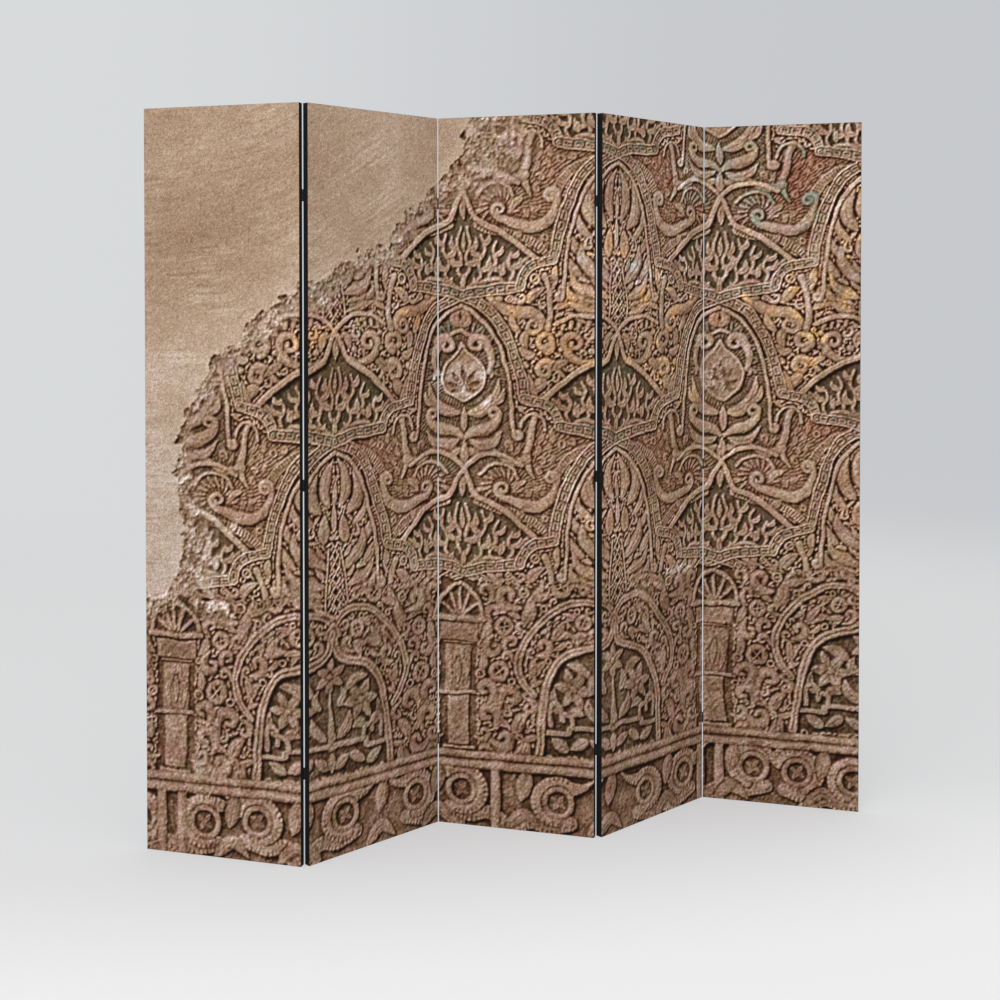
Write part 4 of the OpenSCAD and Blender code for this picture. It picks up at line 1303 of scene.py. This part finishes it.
class StageOperator(bpy.types.Operator):
    """Make the pale floor, the light from all round, the soft lamp and the camera"""

    bl_idname = "screen.stage"
    bl_label = "Stage"

    def execute(self, context):
        settings = context.scene.screen_stage
        self.floor(settings)
        self.world(settings)
        self.lamp(settings)
        self.camera(settings)
        return {"FINISHED"}

    def floor(self, settings):
        clear_selection()
        bpy.ops.mesh.primitive_circle_add(vertices=96, radius=FLOOR_R, fill_type="NGON",
                                          location=(0, 0, -0.5 * MM))
        floor = bpy.context.object
        bpy.ops.object.transform_apply(location=True, rotation=False, scale=False)
        floor.name = "floor"
        n = Nodes(bpy.data.materials.new("floor"))
        x, y, _ = n.axes(n.placed())
        lit = n.node("ShaderNodeBsdfDiffuse", None, {"Color": settings.floor})
        # Painted light: to the camera the floor is partly a glow, painted brighter from behind the screen towards the
        # viewer, which also lightens the screen's shadow on it. The floor fades out far from the screen.
        tone = n.blend(n.step(y, 0.15, -0.75), shade(217, 217, 218), shade(247, 247, 247))
        painted_light_glow = n.node("ShaderNodeEmission", None, {"Color": tone, "Strength": 1.0})
        both = self.mixed(n, self.seen(n) * 0.6, lit, painted_light_glow)
        open_air = n.node("ShaderNodeBsdfTransparent")
        both = self.mixed(n, n.step(n.math("SQRT", x * x + y * y), 2.2, 5.5), both, open_air)
        n.tree.links.new(both.outputs[0], n.node("ShaderNodeOutputMaterial").inputs[0])
        floor.data.materials.append(n.owner)

    def seen(self, n):
        """1 for the camera's own view, in metal and through glass too, and 0 for the light on the screen."""
        path = n.node("ShaderNodeLightPath")
        camera, glossy, glass = (n.number(path, f"Is {kind} Ray") for kind in ("Camera", "Glossy", "Transmission"))
        return n.held(camera + glossy + glass)

    def mixed(self, n, share, under, over):
        """A shader with share of the shader over in it."""
        both = n.node("ShaderNodeMixShader", None, {0: share})
        n.tree.links.new(under.outputs[0], both.inputs[1])
        n.tree.links.new(over.outputs[0], both.inputs[2])
        return both

    def world(self, settings):
        world = bpy.data.worlds.new("studio")
        bpy.context.scene.world = world
        n = Nodes(world)
        x, _, z = n.axes(n.node("ShaderNodeTexCoord").outputs["Generated"])
        # Painted shade: the backdrop that the camera sees is painted lighter at the left and darker at the right; below
        # the horizon it is an even pale grey.
        wall = n.blend(n.step(x, -0.05, 0.45), shade(216, 218, 220), shade(199, 201, 204))
        shown = n.blend(n.step(z, -0.11, -0.25), wall, shade(215, 215, 215))
        around = n.node("ShaderNodeBackground", None, {"Color": (1, 1, 1), "Strength": settings.sky})
        behind = n.node("ShaderNodeBackground", None, {"Color": shown, "Strength": 1.0})
        both = self.mixed(n, self.seen(n), around, behind)
        n.tree.links.new(both.outputs[0], n.node("ShaderNodeOutputWorld").inputs[0])

    def lamp(self, settings):
        light = bpy.data.lights.new("soft_lamp", "AREA")
        light.energy, light.shape, light.size, light.size_y = settings.lamp, "RECTANGLE", 3.0, 2.4
        lamp = bpy.data.objects.new("soft_lamp", light)
        bpy.context.scene.collection.objects.link(lamp)
        lamp.location = LAMP
        lamp.rotation_euler = (Vector((0, 0, LEAF_H / 2)) - lamp.location).to_track_quat("-Z", "Y").to_euler()

    def camera(self, settings):
        lens = bpy.data.cameras.new("photo_camera")
        camera = bpy.data.objects.new("photo_camera", lens)
        bpy.context.scene.collection.objects.link(camera)
        lens.lens, lens.sensor_width, lens.shift_y = 50, 36, settings.shift
        lens.clip_start, lens.clip_end = 0.05, 60
        camera.location = EYE
        camera.rotation_euler = (math.radians(90 - DOWN), 0, math.radians(-RIGHT))
        bpy.context.scene.camera = camera
        bpy.context.scene.view_settings.view_transform = "Standard"


class CanvasOperator(bpy.types.Operator):
    """Make the five printed canvases"""

    bl_idname = "screen.canvases"
    bl_label = "Printed canvases"

    def execute(self, context):
        sizes, colours = context.scene.screen_sizes, context.scene.screen_print
        picture, print_on_canvas = draw_picture(), print_material(colours, sizes)
        blank = finish_piece(canvas_blank(sizes), "canvas_blank", print_on_canvas, 50)
        at = points_of(blank)
        turned = ease((at[:, 1] + sizes.leaf_thickness / 2) / (0.35 * sizes.front_turn))
        for leaf in range(1, LEAVES + 1):
            piece = copy_to_leaf(blank, f"leaf_{leaf}_canvas", leaf)
            along = at[:, 0] + (leaf - 0.5) * sizes.leaf_width
            across, down = along / (LEAVES * sizes.leaf_width), 1 - at[:, 2] / sizes.leaf_height
            for name, field in picture.items():
                give(piece, name, look_up_smooth(field, across, down))
            give(piece, "edge", turned)
            place = piece.data.attributes.new("place", "FLOAT_VECTOR", "POINT")
            spot = np.stack([along, at[:, 1], at[:, 2]], 1)
            place.data.foreach_set("vector", np.ascontiguousarray(spot.ravel(), np.float32))
            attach(piece, f"leaf_{leaf}")
            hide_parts(f"leaf_{leaf}_printed_canvas")
        bpy.data.objects.remove(blank)
        return {"FINISHED"}


class BackingOperator(bpy.types.Operator):
    """Make the black backing cloths, their hems and their staples"""

    bl_idname = "screen.backings"
    bl_label = "Backing cloths"

    def execute(self, context):
        scene, sizes = context.scene, context.scene.screen_sizes
        black = cloth_material(scene.screen_print.cloth)
        bright = steel_material("staple_steel", scene.screen_trim)
        cloth = finish_piece(cloth_blank(sizes), "cloth_blank", black, 60)
        hem = finish_piece(hem_blank(sizes), "hem_blank", black)
        staple = finish_piece(staple_blank(sizes), "staple_blank", bright)
        hem_top = sizes.leaf_thickness / 2 + 2 * sizes.cloth_thickness
        crown = hem_top + sizes.staple_rise - WIRE_DEPTH / 2 * sizes.staple_wire
        rows = bmesh.new()
        for x, z, turn in staple_places(sizes):
            one = staple.data.copy()
            one.transform(Matrix.Translation((x, crown, z)) @ Matrix.Rotation(turn, 4, "Y"))
            rows.from_mesh(one)
            bpy.data.meshes.remove(one)
        rows.to_mesh(staple.data)
        rows.free()
        for leaf in range(1, LEAVES + 1):
            sheet = copy_to_leaf(cloth, f"leaf_{leaf}_backing", leaf)
            ring = copy_to_leaf(hem, f"leaf_{leaf}_backing_hem", leaf)
            staples = copy_to_leaf(staple, f"leaf_{leaf}_staples", leaf)
            for piece, slot in ((sheet, "black_cloth"), (ring, "black_cloth"), (staples, "pin_steel")):
                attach(piece, f"leaf_{leaf}")
            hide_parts(f"leaf_{leaf}_back_cloth")
        for blank in (cloth, hem, staple):
            bpy.data.objects.remove(blank)
        return {"FINISHED"}


class FrameOperator(bpy.types.Operator):
    """Finish the stretcher frames in planed pine and their tongues in plywood"""

    bl_idname = "screen.frames"
    bl_label = "Stretcher frames"

    def execute(self, context):
        trim = context.scene.screen_trim
        upright, plywood = timber_material("pine_upright", trim), plywood_material(trim)
        level = {heading(leaf): timber_material(f"pine_level_{way}", trim, heading(leaf), True)
                 for leaf, way in ((1, "odd"), (2, "even"))}
        for leaf in range(1, LEAVES + 1):
            for bar in ("left_stile", "right_stile"):
                repaint(f"leaf_{leaf}_{bar}", upright)
            for bar in ("top_rail", "bottom_rail", "cross_rails"):
                repaint(f"leaf_{leaf}_{bar}", level[heading(leaf)])
            repaint(f"leaf_{leaf}_joint_tongues", plywood)
        return {"FINISHED"}


class HingeOperator(bpy.types.Operator):
    """Finish the hinge flaps and screws in black lacquer and the pins in bright steel"""

    bl_idname = "screen.hinges"
    bl_label = "Hinges"

    def execute(self, context):
        trim = context.scene.screen_trim
        flap, screw = (lacquer_material(name, trim.lacquer, trim) for name in ("hinge_lacquer", "screw_lacquer"))
        pin = steel_material("pin_steel", trim)
        for leaf in range(1, LEAVES + 1):
            repaint(f"leaf_{leaf}_hinge_screws", screw)
        for seam in range(1, LEAVES):
            repaint(f"seam_{seam}_hinge_flaps_a", flap)
            repaint(f"seam_{seam}_hinge_flaps_b", flap)
            repaint(f"seam_{seam}_hinge_pins", pin)
        return {"FINISHED"}


class ScreenPanel(bpy.types.Panel):
    """The folding screen's steps and settings"""

    bl_idname = "VIEW3D_PT_screen"
    bl_label = "Folding screen"
    bl_space_type = "VIEW_3D"
    bl_region_type = "UI"
    bl_category = "Screen"

    def draw(self, context):
        for step in STEPS:
            self.layout.operator(step.bl_idname)
        for name in SETTINGS:
            box, group = self.layout.box(), getattr(context.scene, name)
            for prop in group.bl_rna.properties:
                if prop.identifier not in ("rna_type", "name"):
                    box.prop(group, prop.identifier)


STEPS = (StageOperator, CanvasOperator, BackingOperator, FrameOperator, HingeOperator)
SETTINGS = {"screen_sizes": ScreenSizes, "screen_print": PrintColours, "screen_trim": TrimColours,
            "screen_stage": StageSettings}


def register():
    for cls in (*SETTINGS.values(), *STEPS, ScreenPanel):
        bpy.utils.register_class(cls)
    for name, group in SETTINGS.items():
        setattr(bpy.types.Scene, name, PointerProperty(type=group))


def unregister():
    for name in SETTINGS:
        delattr(bpy.types.Scene, name)
    for cls in reversed((*SETTINGS.values(), *STEPS, ScreenPanel)):
        bpy.utils.unregister_class(cls)


def main():
    register()
    for step in STEPS:
        group, name = step.bl_idname.split(".")
        getattr(getattr(bpy.ops, group), name)()


if __name__ == "__main__":
    main()
